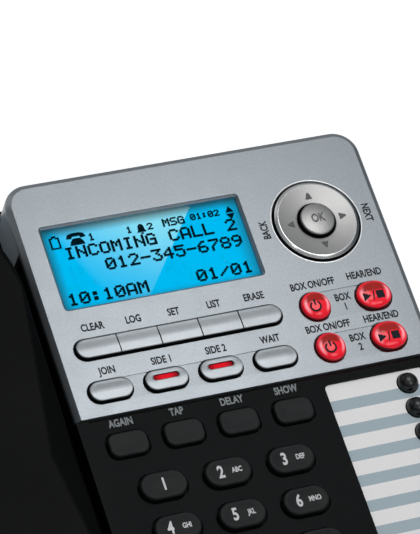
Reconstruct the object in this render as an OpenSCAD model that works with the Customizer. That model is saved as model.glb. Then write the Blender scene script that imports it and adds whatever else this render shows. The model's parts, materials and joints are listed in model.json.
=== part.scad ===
// Corded desk telephone: sloping body, display panel, navigation dial, keys and a handset in its bay.
// Millimetres. +Z is up, +Y is the rear, +X is the right side. The origin is the middle of the footprint.
// Most pieces are drawn in the frame of the sloping face and then laid on the slope by on_face().

/* [Body] */
// overall width
body_w = 193; // [189:1:215]
// width of the handset bay on the left
bay_w = 66; // [65:1:80]
// length of the sloping face from rear edge to front edge
face_len = 198; // [196:1:215]
// slope of the face in degrees
tilt = 22; // [16:1:25]
// height of the face plane at its front edge
front_h = 22; // [21:1:30]
// wall thickness of the housings
wall = 2.4; // [2:0.1:3]
// corner radius of the body in plan
corner_r = 8; // [5:0.5:10]
// depth of the bay deck, and of the panel's skirt, below the face
drop = 17; // [16:0.5:17.5]
// thickness of the base plate
plate_t = 2.5; // [2:0.1:3]

/* [Feet and screws] */
// radius of a rubber foot
foot_r = 7; // [5:0.5:9]
// height of a rubber foot
foot_h = 2; // [1.5:0.1:4]
// distance of the feet from the side walls
foot_in = 18; // [14:1:30]
// height of the screw posts in the housing
post_h = 9; // [7:0.5:10]
// radius of a case screw shank
screw_r = 1.4; // [1.2:0.1:1.6]
// radius of a board screw shank
board_screw_r = 1.1; // [0.9:0.1:1.3]

/* [Display panel] */
// margin of the panel in front of its lower key row
front_margin = 8.4; // [7.6:0.1:10]
// thickness of the panel plate
cover_t = 2.5; // [2.2:0.1:2.8]
// thickness of the lip along the bay
lip_t = 3.2; // [3:0.1:5]
// set-back of the housing wall under the lip
lip_in = 1.5; // [1:0.1:2]
// length of the full-depth part of the panel's left wall
wing_len = 24; // [14:1:40]
// width of the bevel around the panel
bevel = 2.0; // [1.5:0.1:2.6]
// radius of the panel's rear corners
panel_corner = 8.4; // [7:0.1:11]
// step from the panel down to the key deck
step = 0.8; // [0.4:0.1:1.2]

/* [Display] */
// width of the panel's right part, beside the display window
dial_zone = 48.4; // [46:0.1:52]
// height of the display window
lcd_h = 31.2; // [28:0.1:34]
// distance of the window from the panel's left edge
lcd_x = 8.4; // [8:0.1:9]
// distance of the window from the panel's rear edge
lcd_y = 17; // [15:0.1:19]
// thickness of the clear lens
lens_t = 1.2; // [0.8:0.1:1.6]

/* [Navigation dial] */
// radius of the bevelled recess around the ring
nav_r = 16; // [15.6:0.1:16.6]
// outer radius of the ring
ring_r = 14.7; // [14:0.1:14.8]
// radius of the hole in the ring
ring_hole = 6.8; // [6.6:0.1:7.2]
// radius of the centre key
enter_r = 5.95; // [5.7:0.05:6.1]
// height of the ring above the panel
ring_up = 1.3; // [0.8:0.1:1.8]
// height of the centre key above the panel
enter_up = 2.4; // [2:0.1:3]
// distance of the dial from the panel's right edge
nav_in = 24.5; // [22:0.1:26]
// distance of the dial from the panel's rear edge
nav_y = 32.5; // [31.8:0.1:33]

/* [Keys on the panel] */
// how much longer the row of five soft keys is than the display window
soft_over = 0.8; // [0:0.1:2]
// height of a soft key along the slope
soft_h = 6.8; // [6:0.1:7.2]
// how much shorter the row of four function keys is than the window, between its end keys' middles
func_short = 12.9; // [11:0.1:15]
// gap between two function keys
func_gap = 4.5; // [3.5:0.1:6]
// height of a function key along the slope
func_h = 7; // [6:0.1:7.4]
// distance of the lamp slot from the ends of a line key
lamp_in = 2.9; // [2.4:0.1:3.4]
// height of the lamp slot in a line key
lamp_h = 1.9; // [1.4:0.1:2]
// diameter of a round red key
red_d = 10.2; // [9:0.1:10.8]
// width of an oval red key
oval_w = 12.4; // [11.6:0.1:13.4]
// distance of the round red keys from the panel's right edge
red_in = 35.6; // [33:0.1:37]
// distance of the oval red keys from the panel's right edge
oval_in = 14.6; // [13:0.1:16]
// distance of the upper key row from the display window
soft_gap = 15.1; // [14:0.1:17]
// distance between the two key rows
row_gap = 15.5; // [14:0.1:17]
// height of the keys above the panel
key_up = 1.5; // [1.1:0.1:2]
// height of the domed keys above the panel
dome_up = 2.6; // [2:0.1:3.2]
// travel of a key
travel = 1.2; // [0.8:0.1:1.4]
// side clearance of a key in its hole
key_clear = 0.6; // [0.4:0.05:0.7]
// side clearance of a red key in its hole
red_clear = 0.3; // [0.25:0.05:0.5]

/* [Keys on the deck] */
// free width of the deck beside the three dial key columns
dial_side = 18.9; // [16:0.1:22]
// gap between two dial keys across
dial_gap_x = 6; // [5:0.1:8]
// gap between two dial keys along the slope
dial_gap_y = 5.5; // [5:0.1:7]
// height of the mute key, the speaker key and the rocker along the slope
low_h = 9.5; // [8:0.5:10]
// gap between the mute key and the speaker key
low_gap = 8; // [6:0.5:10]
// gap between two keys of the deck's top row
top_gap = 5.5; // [4:0.1:7]
// height of a key of the deck's top row along the slope
top_h = 8.5; // [8:0.1:9.5]
// width of the memory card
card_w = 36; // [33:0.5:36.5]
// distance of the memory card from the panel's right edge
card_in = 6.1; // [5:0.1:8]
// pitch of the memory keys
mem_pitch = 9.06; // [8.9:0.02:9.1]
// diameter of a memory key
mem_d = 7; // [6:0.1:7.2]
// how much shorter the volume rocker is than the card is wide
vol_short = 4; // [2:0.5:8]

/* [Handset] */
// length of the handset
hs_len = 188; // [182:1:190]
// width of the handset
hs_w = 52; // [46:0.5:53]
// gap between the handset and the panel's lip
hs_gap = 4; // [3.5:0.5:6]
// height of the handset's back above the face
hs_top = 5; // [4:0.5:8]
// depth of the grip's underside below the face
grip_dn = 8; // [7:0.5:9]
// radius of the ear cap and of the mouth cap
cap_r = 19.5; // [17:0.5:20]
// gap between a cap and the cup that it lies in
cup_gap = 2.5; // [1.5:0.1:3]
// depth of the two cups below the deck
cup_d = 4.5; // [3:0.5:4.5]
// wall thickness of the handset shells
hs_wall = 2.2; // [1.8:0.1:2.6]
// travel of the hook plunger
hook_up = 4; // [2:0.5:5]

/* [Hidden] */
$fn = 48;

// colours of the preview
SILVER = [0.66, 0.68, 0.71];
BLACK = [0.10, 0.10, 0.12];
GREY = [0.30, 0.31, 0.34];
RED = [0.78, 0.10, 0.16];
BLUE = [0.25, 0.70, 0.95];
WHITE = [0.93, 0.93, 0.92];
GREEN = [0.10, 0.40, 0.22];

// body derived from the slope
body_d = face_len * cos(tilt) + drop * sin(tilt);
rear_y = body_d / 2 - drop * sin(tilt);
rear_z = front_h + face_len * sin(tilt);
seam_z = foot_h + plate_t;
panel_l = bay_w - body_w / 2;
panel_r = body_w / 2;
panel_w = body_w - bay_w;
div_r = panel_l + lip_in + wall;
big = 500;

// levels below the face: key deck, board, key mat
deck_w = -step;
board_t = 1.6;
board_w = -10;
mat_t = 0.8;
mat_w = board_w + mat_t;
flange = 0.9;
flange_t = 0.8;
flange_gap = 0.3;
post_gap = 0.3;

// display window and key rows on the panel, in the face frame
lcd_w = panel_w - lcd_x - dial_zone;
lcd_u = panel_l + lcd_x + lcd_w / 2;
lcd_v = -lcd_y - lcd_h / 2;
lens_lap = 2;
lcd_lap = 2.5;
row_1 = lcd_y + lcd_h + soft_gap;
row_2 = row_1 + row_gap;
cover_len = row_2 + front_margin;
key_shift = 0.5;
soft_u = lcd_u - key_shift;
soft_pitch = (lcd_w + soft_over) / 5;
soft_split = 0.4;
soft_tip = 0.5;
func_pitch = (lcd_w - func_short) / 3;
func_u = soft_u - 1.5 * func_pitch;
func_w = func_pitch - func_gap;
lamp_w = func_w - 2 * lamp_in;
lamp_v = 0.9;
lamp_dn = 0.15;
lane_dn = 0.25;
lane_over = 1;
red_u = panel_r - red_in;
oval_u = panel_r - oval_in;
nav_u = panel_r - nav_in;

// memory card, key rows and key columns on the deck
card_gap = 3.8;
card_dn = 1.2;
card_t = 0.3;
card_r = 2;
card_end = 4;
card_play = 0.1;
card_u = panel_r - card_in - card_w / 2;
card_v = cover_len + card_gap;
card_l = 6 * mem_pitch + card_end;
mem_in = 7.3;
mem_first = 4.9;
mem_u = card_u + card_w / 2 - mem_in;
mem_v = card_v + mem_first;
mem_flange = 0.75;
dial_u = soft_u;
dial_pitch_x = (card_u - card_w / 2 - panel_l - dial_side) / 3;
dial_w = dial_pitch_x - dial_gap_x;
top_off = 10.8;
top_row = cover_len + top_off;
top_w = func_pitch - top_gap;
top_r = 3;
dial_off = 16.5;
dial_row = top_row + dial_off;
low_in = 21;
low_row = face_len - low_in;
low_off = 17.5;
dial_pitch_y = (low_row - dial_row - low_off) / 3;
dial_h = dial_pitch_y - dial_gap_y;
low_w = (2 * dial_pitch_x + dial_w - low_gap) / 2;
low_u = (low_w + low_gap) / 2;
vol_u = card_u;
vol_w = card_w - vol_short;
tall_up = key_up + 0.5;
boss_r = 2.6;

// handset in the face frame
hs_u = panel_l - hs_gap - hs_w / 2;
hs_shift = 0.5;
hs_v = hs_shift - face_len / 2;
cap_in = 33;
ear_v = hs_v + hs_len / 2 - cap_in;
mouth_v = hs_v - hs_len / 2 + cap_in;
cup_r = cap_r + cup_gap;
cup_wall = 2;
cap_gap = 0.3;
hook_off = 8;
hook_v = ear_v - cup_r - hook_off;
hook_w = 10;
hook_h = 7;
hook_gap = 0.45;
cap_dn = drop + cup_d - cap_gap;
spk_off = 8;
spk_v = hs_v - spk_off;
spk_r = 25;
spk_rim = 3;
spk_edge = 4;
spk_cone = 7;
spk_mag = 13;
spk_mag_t = 6;
grille_pitch = 6;
grille_w = 30;
grille_h = 2.4;

function sect(half, prof) = [for (p = prof) [half - p[0], p[1]]];
function flip(l) = [for (i = [len(l) - 1:-1:0]) [-l[i][0], l[i][1]]];
function both(half, prof) = concat(sect(half, prof), flip(sect(half, prof)));
function wedge(r, prof) = concat([[0, prof[0][1]]], sect(r, prof), [[0, prof[len(prof) - 1][1]]]);

module on_face() {
    translate([0, rear_y, rear_z]) rotate([tilt, 0, 0]) children();
}

// rounded rectangle and rounded slot in the plane
module rrect(w, h, r) {
    square([w - 2 * r, h], center = true);
    square([w, h - 2 * r], center = true);
    for (x = [-1, 1], y = [-1, 1]) translate([x * (w / 2 - r), y * (h / 2 - r)]) circle(r = r);
}

module slot2d(w, h) {
    long = max(w, h);
    short = min(w, h);
    rotate(h > w ? 90 : 0) {
        if (long > short + 0.01) square([long - short, short], center = true);
        for (x = [-1, 1]) translate([x * (long - short) / 2, 0]) circle(d = short);
    }
}

// solid with a rounded-rectangle outline whose side follows a profile of [inset, height] points
module cap(w, h, r, prof) {
    rotate([90, 0, 90]) translate([0, 0, r - w / 2]) linear_extrude(w - 2 * r) polygon(both(h / 2, prof));
    rotate([90, 0, 0]) translate([0, 0, r - h / 2]) linear_extrude(h - 2 * r) polygon(both(w / 2, prof));
    for (q = [[1, 1, 0], [-1, 1, 90], [-1, -1, 180], [1, -1, 270]])
        translate([q[0] * (w / 2 - r), q[1] * (h / 2 - r), 0]) rotate([0, 0, q[2]])
            rotate_extrude(angle = 90) polygon(wedge(r, prof));
}

// the same with half-round ends
module pill(w, h, prof) {
    long = max(w, h);
    short = min(w, h);
    rotate([0, 0, h > w ? 90 : 0]) {
        rotate([90, 0, 90]) translate([0, 0, (short - long) / 2]) linear_extrude(long - short)
            polygon(both(short / 2, prof));
        for (s = [-1, 1]) translate([s * (long - short) / 2, 0, 0]) rotate([0, 0, -90 * s])
            rotate_extrude(angle = 180) polygon(wedge(short / 2, prof));
    }
}

module disc(r, prof) {
    rotate_extrude() polygon(wedge(r, prof));
}

// side of a key: flange under the plate, straight side, bevelled or domed top
key_z0 = -(cover_t + flange_gap + flange_t);
key_z1 = -(cover_t + flange_gap);
function key_prof(e, up) = [[-flange, key_z0], [-flange, key_z1], [0, key_z1], [0, up - e],
    [0.3 * e, up - 0.3 * e], [e, up]];
function dome_prof(up) = [[-flange, key_z0], [-flange, key_z1], [0, key_z1], [0, up - 1.9],
    [0.5, up - 1.1], [1.4, up - 0.5], [2.6, up - 0.1], [3.2, up]];

module footprint(inset) {
    rrect(body_w - 2 * inset, body_d - 2 * inset, max(corner_r - inset, 1));
}

module below(depth) {
    on_face() translate([-big / 2, -big / 2, -depth - big]) cube([big, big, big]);
}

// housing
module housing_outer() {
    intersection() {
        translate([0, 0, seam_z]) linear_extrude(big) footprint(0);
        below(drop);
    }
    intersection() {
        translate([0, 0, seam_z]) linear_extrude(big) footprint(0);
        on_face() translate([panel_l, -big - cover_len, -big + deck_w]) cube([panel_w, big, big]);
    }
    on_face() translate([panel_l + lip_in, -cover_len - 1, -drop - 1])
        cube([wall, cover_len + 1 - wing_len, drop + 1 - lip_t]);
}

module housing_cavity() {
    intersection() {
        translate([0, 0, seam_z - 1]) linear_extrude(big) footprint(wall);
        union() {
            below(drop + wall);
            on_face() translate([div_r, -big - cover_len, -big + deck_w - cover_t]) cube([big, big, big]);
            on_face() translate([div_r, -cover_len - 1, -big + 1]) cube([big, cover_len + 2, big]);
        }
    }
}

module cup(v) {
    translate([hs_u, v, -drop - cup_d - cup_wall]) cylinder(r = cup_r + cup_wall, h = cup_d + cup_wall);
}

module cup_hollow(v) {
    translate([hs_u, v, -drop - cup_d]) cylinder(r = cup_r, h = cup_d + 1);
}

jack_in = 26;
jack_u = panel_r - jack_in;
jack_pitch = 20;
jack_w = 15;
jack_h = 13;
jack_l = 15;
sock_l = 12;
sock_z = 3;
line_w = 9.8;
line_h = 6.6;
latch_w = 6.4;
latch_h = 1;
hjack_w = 13;
hjack_y = -8;
hsock_w = 7.8;
hlatch_w = 5.2;
power_u = jack_u - 2 * jack_pitch;
power_w = 10;
power_l = 13;
power_h = 11.5;
power_r = 3.1;
power_z = 6.3;
power_d = 10;
pin_r = 1;
// each socket's face plate stands in a notch of the housing's wall, flush with the outside
face_plate_w = 19.6;
face_plate_h = 14;
face_plate_play = 0.2;

// a notch of the wall, open at the seam, for face plates over a length of l
module jack_notch(l) {
    translate([-l / 2 - face_plate_play, -2 * wall, -1])
        cube([l + 2 * face_plate_play, 3 * wall, face_plate_h + face_plate_play + 1]);
}

module jack_holes() {
    translate([jack_u - jack_pitch, body_d / 2, seam_z]) jack_notch(2 * jack_pitch + face_plate_w);
    translate([-body_w / 2, hjack_y, seam_z]) rotate([0, 0, 90]) jack_notch(face_plate_w);
}

// the screw posts stand against the side walls
post_r = 4;
post_in = 6;
post_rear = 25;
post_front = 40;
post_x = body_w / 2 - post_in;
post_ys = [body_d / 2 - post_rear, post_front - body_d / 2];
module at_posts() {
    for (x = [-1, 1], y = post_ys) translate([x * post_x, y, 0]) children();
}

// board bosses under the panel and under the key deck
boss_in = 8;
boss_gap = 6.3;
boss_side = 4;
boss_front = 11;
deck_side = 5.4;
boss_down = 45;
thread = 4;
cover_bosses = [[panel_l + boss_in, -boss_in], [panel_r - boss_in, -boss_in],
    [panel_l + boss_in, lcd_v - lcd_h / 2 - boss_gap],
    [lcd_u + lcd_w / 2 + boss_side, lcd_v - lcd_h / 2 - boss_gap]];
deck_bosses = [[panel_l + boss_in, boss_front - face_len], [panel_r - boss_in, boss_front - face_len],
    [card_u - card_w / 2 - deck_side, -card_v - boss_down]];

module board_boss(p, top) {
    translate([p[0], p[1], board_w]) difference() {
        cylinder(r = boss_r, h = top - board_w);
        translate([0, 0, -1]) cylinder(r = board_screw_r, h = thread + 2);
    }
}

module main_housing() {
    color(BLACK) difference() {
        union() {
            difference() {
                housing_outer();
                housing_cavity();
            }
            intersection() {
                translate([0, 0, seam_z]) linear_extrude(big) footprint(0);
                on_face() union() {
                    cup(ear_v);
                    cup(mouth_v);
                }
            }
            at_posts() translate([0, 0, seam_z]) cylinder(r = post_r, h = post_h);
            on_face() for (p = deck_bosses) board_boss(p, deck_w - cover_t + 0.5);
        }
        on_face() {
            cup_hollow(ear_v);
            cup_hollow(mouth_v);
            translate([hs_u, hook_v, -drop - wall - 1]) linear_extrude(wall + 2)
                slot2d(hook_w + 2 * hook_gap, hook_h + 2 * hook_gap);
            for (i = [-3:3]) translate([hs_u, spk_v - i * grille_pitch, -drop - wall - 1])
                linear_extrude(wall + 2) slot2d(grille_w - 2 * abs(i), grille_h);
            translate([card_u, -card_v - card_l / 2, deck_w - card_dn]) linear_extrude(3)
                rrect(card_w, card_l, card_r);
            for (i = [0:3]) translate([func_u + i * func_pitch, -top_row, deck_w - cover_t - 1])
                linear_extrude(cover_t + 2)
                    rrect(top_w + 2 * key_clear, top_h + 2 * key_clear, top_r + key_clear);
            for (i = [-1:1], j = [0:3])
                translate([dial_u + i * dial_pitch_x, -dial_row - j * dial_pitch_y, deck_w - cover_t - 1])
                    linear_extrude(cover_t + 2) slot2d(dial_w + 2 * key_clear, dial_h + 2 * key_clear);
            for (s = [-1, 1]) translate([dial_u + s * low_u, -low_row, deck_w - cover_t - 1])
                linear_extrude(cover_t + 2) slot2d(low_w + 2 * key_clear, low_h + 2 * key_clear);
            translate([vol_u, -low_row, deck_w - cover_t - 1]) linear_extrude(cover_t + 2)
                slot2d(vol_w + 2 * key_clear, low_h + 2 * key_clear);
            for (i = [0:5]) translate([mem_u, -mem_v - i * mem_pitch, deck_w - cover_t - 1])
                cylinder(d = mem_d + 2 * key_clear, h = cover_t + 2);
        }
        at_posts() translate([0, 0, seam_z - 1]) cylinder(r = screw_r, h = post_h);
        jack_holes();
    }
}

head_r = 2.7;
head_t = 1;
head_dn = 0.2;
screw_play = 0.3;
post_end = 3;
board_head_r = 2.2;
board_head_t = 1.2;

module base_plate() {
    color(BLACK) difference() {
        translate([0, 0, foot_h]) linear_extrude(plate_t) footprint(0);
        at_posts() translate([0, 0, foot_h - 1]) cylinder(r = screw_r + screw_play, h = plate_t + 2);
        at_posts() translate([0, 0, foot_h - 1]) cylinder(r = head_r + screw_play, h = 1 + head_t + head_dn);
    }
}

module rubber_feet() {
    color(GREY) for (x = [-1, 1], y = [-1, 1])
        translate([x * (body_w / 2 - foot_in), y * (body_d / 2 - foot_in), 0])
            disc(foot_r, [[0.6, 0], [0, 0.6], [0, foot_h]]);
}

module case_screws() {
    color(GREY) {
        at_posts() translate([0, 0, foot_h + head_dn]) {
            cylinder(r = head_r, h = head_t);
            cylinder(r = screw_r, h = plate_t + post_h - post_end);
        }
        on_face() for (p = concat(cover_bosses, deck_bosses)) translate([p[0], p[1], board_w - board_t]) {
            translate([0, 0, -board_head_t]) cylinder(r = board_head_r, h = board_head_t);
            cylinder(r = board_screw_r, h = board_t + thread);
        }
    }
}

// display panel
nav_bevel = 0.8;
panel_side = [[0, -drop], [0, -bevel], [0.12 * bevel, -0.8 * bevel], [bevel, 0]];

module panel_holes() {
    translate([lcd_u, lcd_v, -cover_t - 1])
        linear_extrude(cover_t + 2) rrect(lcd_w, lcd_h, 1.5);
    translate([nav_u, -nav_y, -cover_t - 1]) cylinder(r = nav_r - nav_bevel, h = cover_t + 2);
    translate([nav_u, -nav_y, -nav_bevel])
        cylinder(r1 = nav_r - nav_bevel, r2 = nav_r + 0.2, h = nav_bevel + 0.2);
    translate([soft_u, -row_1, -cover_t - 1]) linear_extrude(cover_t + 2)
        slot2d(5 * soft_pitch + 2 * soft_tip + 2 * key_clear, soft_h + 2 * key_clear);
    for (i = [0:3]) translate([func_u + i * func_pitch, -row_2, -cover_t - 1])
        linear_extrude(cover_t + 2) slot2d(func_w + 2 * key_clear, func_h + 2 * key_clear);
    for (v = [row_1, row_2]) {
        translate([red_u, -v, -cover_t - 1]) cylinder(d = red_d + 2 * red_clear, h = cover_t + 2);
        translate([oval_u, -v, -cover_t - 1]) linear_extrude(cover_t + 2)
            slot2d(oval_w + 2 * red_clear, red_d + 2 * red_clear);
    }
}

module panel_lanes() {
    translate([func_u + 1.5 * func_pitch, -row_2, -lane_dn]) linear_extrude(1)
        square([3 * func_pitch, func_h + lane_over], center = true);
    for (v = [row_1, row_2]) translate([(red_u + oval_u) / 2, -v, -lane_dn]) linear_extrude(1)
        square([oval_u - red_u, red_d - 0.2], center = true);
}

module display_panel() {
    color(SILVER) on_face() {
        difference() {
            intersection() {
                translate([(panel_l + panel_r) / 2, -cover_len, 0])
                    cap(panel_w, 2 * cover_len, panel_corner, panel_side);
                translate([-big / 2, -cover_len, -drop]) cube([big, big, big]);
            }
            translate([panel_l + wall, -cover_len - 1, -drop - 1])
                cube([panel_w - 2 * wall, cover_len + 1 - wall, drop + 1 - cover_t]);
            translate([panel_l - 1, -cover_len - 1, -drop - 1])
                cube([wall + 2, cover_len + 1 - wing_len, drop + 1 - lip_t]);
            panel_holes();
            panel_lanes();
        }
        for (p = cover_bosses) board_boss(p, -cover_t + 0.5);
    }
}

module display_lens() {
    color([0.6, 0.85, 0.95, 0.5]) on_face()
        translate([lcd_u, lcd_v, -cover_t - lens_t])
            linear_extrude(lens_t) rrect(lcd_w + 2 * lens_lap, lcd_h + 2 * lens_lap, 2);
}

module lcd_module() {
    color(BLUE) on_face() translate([lcd_u, lcd_v, board_w])
        linear_extrude(-cover_t - lens_t - board_w)
            square([lcd_w + 2 * lcd_lap, lcd_h + 2 * lcd_lap], center = true);
}

board_l = div_r + 1.2;
board_r = panel_r - wall - 1.2;
board_rear = -wall - 1.2;
board_front = -face_len + 6;

module board_outline() {
    translate([(board_l + board_r) / 2, (board_rear + board_front) / 2])
        rrect(board_r - board_l, board_rear - board_front, 6);
}

module main_board() {
    color(GREEN) on_face() translate([0, 0, board_w - board_t]) linear_extrude(board_t) difference() {
        board_outline();
        for (p = concat(cover_bosses, deck_bosses)) translate(p) circle(r = board_screw_r + 0.2);
    }
}

// key mat with one post under each key
module mat_post(u, v, r, top) {
    translate([u, v, mat_w - 0.2]) cylinder(r1 = r + 0.6, r2 = r, h = top - mat_w + 0.2);
}

mat_r = 2.4;
nav_post = 11.5;
rest_w = 8;
rest_h = 6;
panel_post = key_z0 - travel - post_gap;
deck_post = deck_w + key_z0 - travel - post_gap;

mat_corner = 5;

module key_mat() {
    color(GREY) on_face() {
        translate([0, 0, board_w]) linear_extrude(mat_t) difference() {
            translate([(board_l + board_r) / 2, (board_rear + board_front) / 2])
                rrect(board_r - board_l - 2, board_rear - board_front - 2, mat_corner);
            for (p = concat(cover_bosses, deck_bosses)) translate(p) circle(r = boss_r + 0.8);
            translate([lcd_u, lcd_v])
                square([lcd_w + 2 * lcd_lap + 2, lcd_h + 2 * lcd_lap + 2], center = true);
        }
        for (i = [-2:2]) mat_post(soft_u + i * soft_pitch, -row_1, mat_r, panel_post);
        for (i = [0:3]) mat_post(func_u + i * func_pitch, -row_2, mat_r, panel_post);
        for (u = [red_u, oval_u], v = [row_1, row_2]) mat_post(u, -v, mat_r, panel_post);
        for (i = [0:3]) mat_post(func_u + i * func_pitch, -top_row, mat_r, deck_post);
        for (i = [-1:1], j = [0:3])
            mat_post(dial_u + i * dial_pitch_x, -dial_row - j * dial_pitch_y, mat_r, deck_post);
        for (s = [-1, 1]) mat_post(dial_u + s * low_u, -low_row, mat_r, deck_post);
        for (i = [0:5]) mat_post(mem_u, -mem_v - i * mem_pitch, mat_r - 0.4, deck_post);
        mat_post(nav_u, -nav_y, mat_r - 0.2, enter_z0 - travel - post_gap);
        for (s = [-1, 1]) translate([nav_u + s * nav_post, -nav_y, mat_w - 0.2])
            cylinder(r = 1, h = carrier_w - mat_w + 0.2 - post_gap);
        translate([vol_u - rest_w / 2, -low_row - rest_h / 2, mat_w - 0.2])
            cube([rest_w, rest_h, vol_axis - vol_r - post_gap - mat_w + 0.2]);
    }
}

// navigation dial: carrier rocks front to rear, the ring rocks on it from side to side
ring_z0 = -4;
carrier_t = 1.2;
carrier_w = ring_z0 - 1.2 - carrier_t;
enter_z0 = -5;
nub_v = 11.2;
carrier_in = 1.3;
carrier_off = 2.2;
nub_r = 0.9;

module nav_carrier() {
    color(GREY) on_face() translate([nav_u, -nav_y, carrier_w]) {
        difference() {
            cylinder(r = ring_r - carrier_in, h = carrier_t);
            translate([0, 0, -1]) cylinder(r = ring_hole + carrier_off, h = carrier_t + 2);
        }
        for (s = [-1, 1]) translate([0, s * nub_v, 0]) cylinder(r = nub_r, h = carrier_t + nub_r);
    }
}

module nav_ring() {
    color(SILVER) on_face() translate([nav_u, -nav_y, 0]) difference() {
        disc(ring_r, [[0.6, ring_z0], [0, ring_z0 + 0.6], [0, ring_up - 1.4], [0.5, ring_up - 0.4],
            [1.6, ring_up]]);
        translate([0, 0, ring_z0 - 1]) cylinder(r = ring_hole, h = ring_up - ring_z0 + 2);
        translate([0, 0, ring_up - 0.5]) cylinder(r1 = ring_hole, r2 = ring_hole + 0.8, h = 0.8);
    }
}

module enter_key() {
    color(SILVER) on_face() translate([nav_u, -nav_y, 0])
        disc(enter_r, [[0, enter_z0], [0, enter_up - 1.4], [0.5, enter_up - 0.6], [1.6, enter_up - 0.1],
            [3, enter_up]]);
}

// soft keys: the two end keys have one round end
module soft_key(i) {
    len = soft_pitch - soft_split;
    prof = key_prof(1.1, key_up);
    color(SILVER) on_face() translate([soft_u + (i - 3) * soft_pitch, -row_1, 0]) {
        if (i > 1 && i < 5)
            rotate([90, 0, 90]) translate([0, 0, -len / 2]) linear_extrude(len)
                polygon(both(soft_h / 2, prof));
        if (i == 1 || i == 5) {
            s = i == 1 ? -1 : 1;
            run = len + soft_tip - soft_h / 2;
            rotate([90, 0, 90]) translate([0, 0, s > 0 ? -len / 2 : len / 2 - run]) linear_extrude(run)
                polygon(both(soft_h / 2, prof));
            translate([s * (run - len / 2), 0, 0]) rotate([0, 0, -90 * s])
                rotate_extrude(angle = 180) polygon(wedge(soft_h / 2, prof));
        }
    }
}

module soft_key_1() { soft_key(1); }
module soft_key_2() { soft_key(2); }
module soft_key_3() { soft_key(3); }
module soft_key_4() { soft_key(4); }
module soft_key_5() { soft_key(5); }

// function keys, two of them with a lamp slot
module func_key(i, lamp) {
    color(SILVER) on_face() translate([func_u + i * func_pitch, -row_2, 0]) difference() {
        pill(func_w, func_h, key_prof(1.1, key_up));
        if (lamp) translate([0, lamp_v, key_z0 - 1]) linear_extrude(big) slot2d(lamp_w, lamp_h);
    }
}

module lamp(i) {
    color(RED) on_face() translate([func_u + i * func_pitch, -row_2 + lamp_v, key_z0])
        linear_extrude(key_up - lamp_dn - key_z0) slot2d(lamp_w, lamp_h);
}

module join_key() { func_key(0, false); }
module line_1_key() { func_key(1, true); }
module line_2_key() { func_key(2, true); }
module hold_key() { func_key(3, false); }
module line_1_lamp() { lamp(1); }
module line_2_lamp() { lamp(2); }

// domed red keys
module red_key(v) {
    color(RED) on_face() translate([red_u, -v, 0]) disc(red_d / 2, dome_prof(dome_up));
}

module oval_key(v) {
    color(RED) on_face() translate([oval_u, -v, 0]) pill(oval_w, red_d, dome_prof(dome_up));
}

module answer_key_1() { red_key(row_1); }
module answer_key_2() { red_key(row_2); }
module play_key_1() { oval_key(row_1); }
module play_key_2() { oval_key(row_2); }

// keys on the deck
module dial_key(i, j) {
    color(GREY) on_face() translate([dial_u + i * dial_pitch_x, -dial_row - j * dial_pitch_y, deck_w])
        pill(dial_w, dial_h, key_prof(1.4, tall_up));
}

module dial_key_1() { dial_key(-1, 0); }
module dial_key_2() { dial_key(0, 0); }
module dial_key_3() { dial_key(1, 0); }
module dial_key_4() { dial_key(-1, 1); }
module dial_key_5() { dial_key(0, 1); }
module dial_key_6() { dial_key(1, 1); }
module dial_key_7() { dial_key(-1, 2); }
module dial_key_8() { dial_key(0, 2); }
module dial_key_9() { dial_key(1, 2); }
module dial_key_star() { dial_key(-1, 3); }
module dial_key_0() { dial_key(0, 3); }
module dial_key_hash() { dial_key(1, 3); }

module top_key(i) {
    color(GREY) on_face() translate([func_u + i * func_pitch, -top_row, deck_w])
        cap(top_w, top_h, top_r, key_prof(1.1, key_up));
}

module redial_key() { top_key(0); }
module flash_key() { top_key(1); }
module pause_key() { top_key(2); }
module preview_key() { top_key(3); }

module low_key(s) {
    color(GREY) on_face() translate([dial_u + s * low_u, -low_row, deck_w])
        pill(low_w, low_h, key_prof(1.4, tall_up));
}

module mute_key() { low_key(-1); }
module speaker_key() { low_key(1); }

// the volume rocker turns on a round rib below it
vol_axis = -4.6;
vol_r = 1.2;
rib_l = 7;
rib_t = 2;

module volume_rocker() {
    color(GREY) on_face() translate([vol_u, -low_row, 0]) {
        translate([0, 0, deck_w]) pill(vol_w, low_h, [[0.3, 1 - cover_t], [0, 1.3 - cover_t],
            [0, tall_up - 1.1], [0.3, tall_up - 0.5], [1.2, tall_up]]);
        translate([0, 0, vol_axis]) rotate([90, 0, 0]) cylinder(r = vol_r, h = rib_l, center = true);
        translate([-rib_t / 2, -rib_l / 2, vol_axis]) cube([rib_t, rib_l, deck_w - vol_axis]);
    }
}

// memory card and its keys
module memory_card() {
    color(WHITE) on_face() translate([card_u, -card_v - card_l / 2, deck_w - card_dn])
        linear_extrude(card_t) difference() {
            rrect(card_w - 2 * card_play, card_l - 2 * card_play, card_r - card_play);
            for (i = [0:5]) translate([mem_u - card_u, card_v + card_l / 2 - mem_v - i * mem_pitch])
                circle(d = mem_d + 2 * key_clear);
        }
}

module memory_key(i) {
    color(BLACK) on_face() translate([mem_u, -mem_v - i * mem_pitch, deck_w])
        disc(mem_d / 2, [[-mem_flange, key_z0], [-mem_flange, key_z1], [0, key_z1], [0, dome_up - 1.6],
            [0.5, dome_up - 0.7], [1.4, dome_up - 0.2], [2.2, dome_up]]);
}

module memory_key_1() { memory_key(0); }
module memory_key_2() { memory_key(1); }
module memory_key_3() { memory_key(2); }
module memory_key_4() { memory_key(3); }
module memory_key_5() { memory_key(4); }
module memory_key_6() { memory_key(5); }

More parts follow.
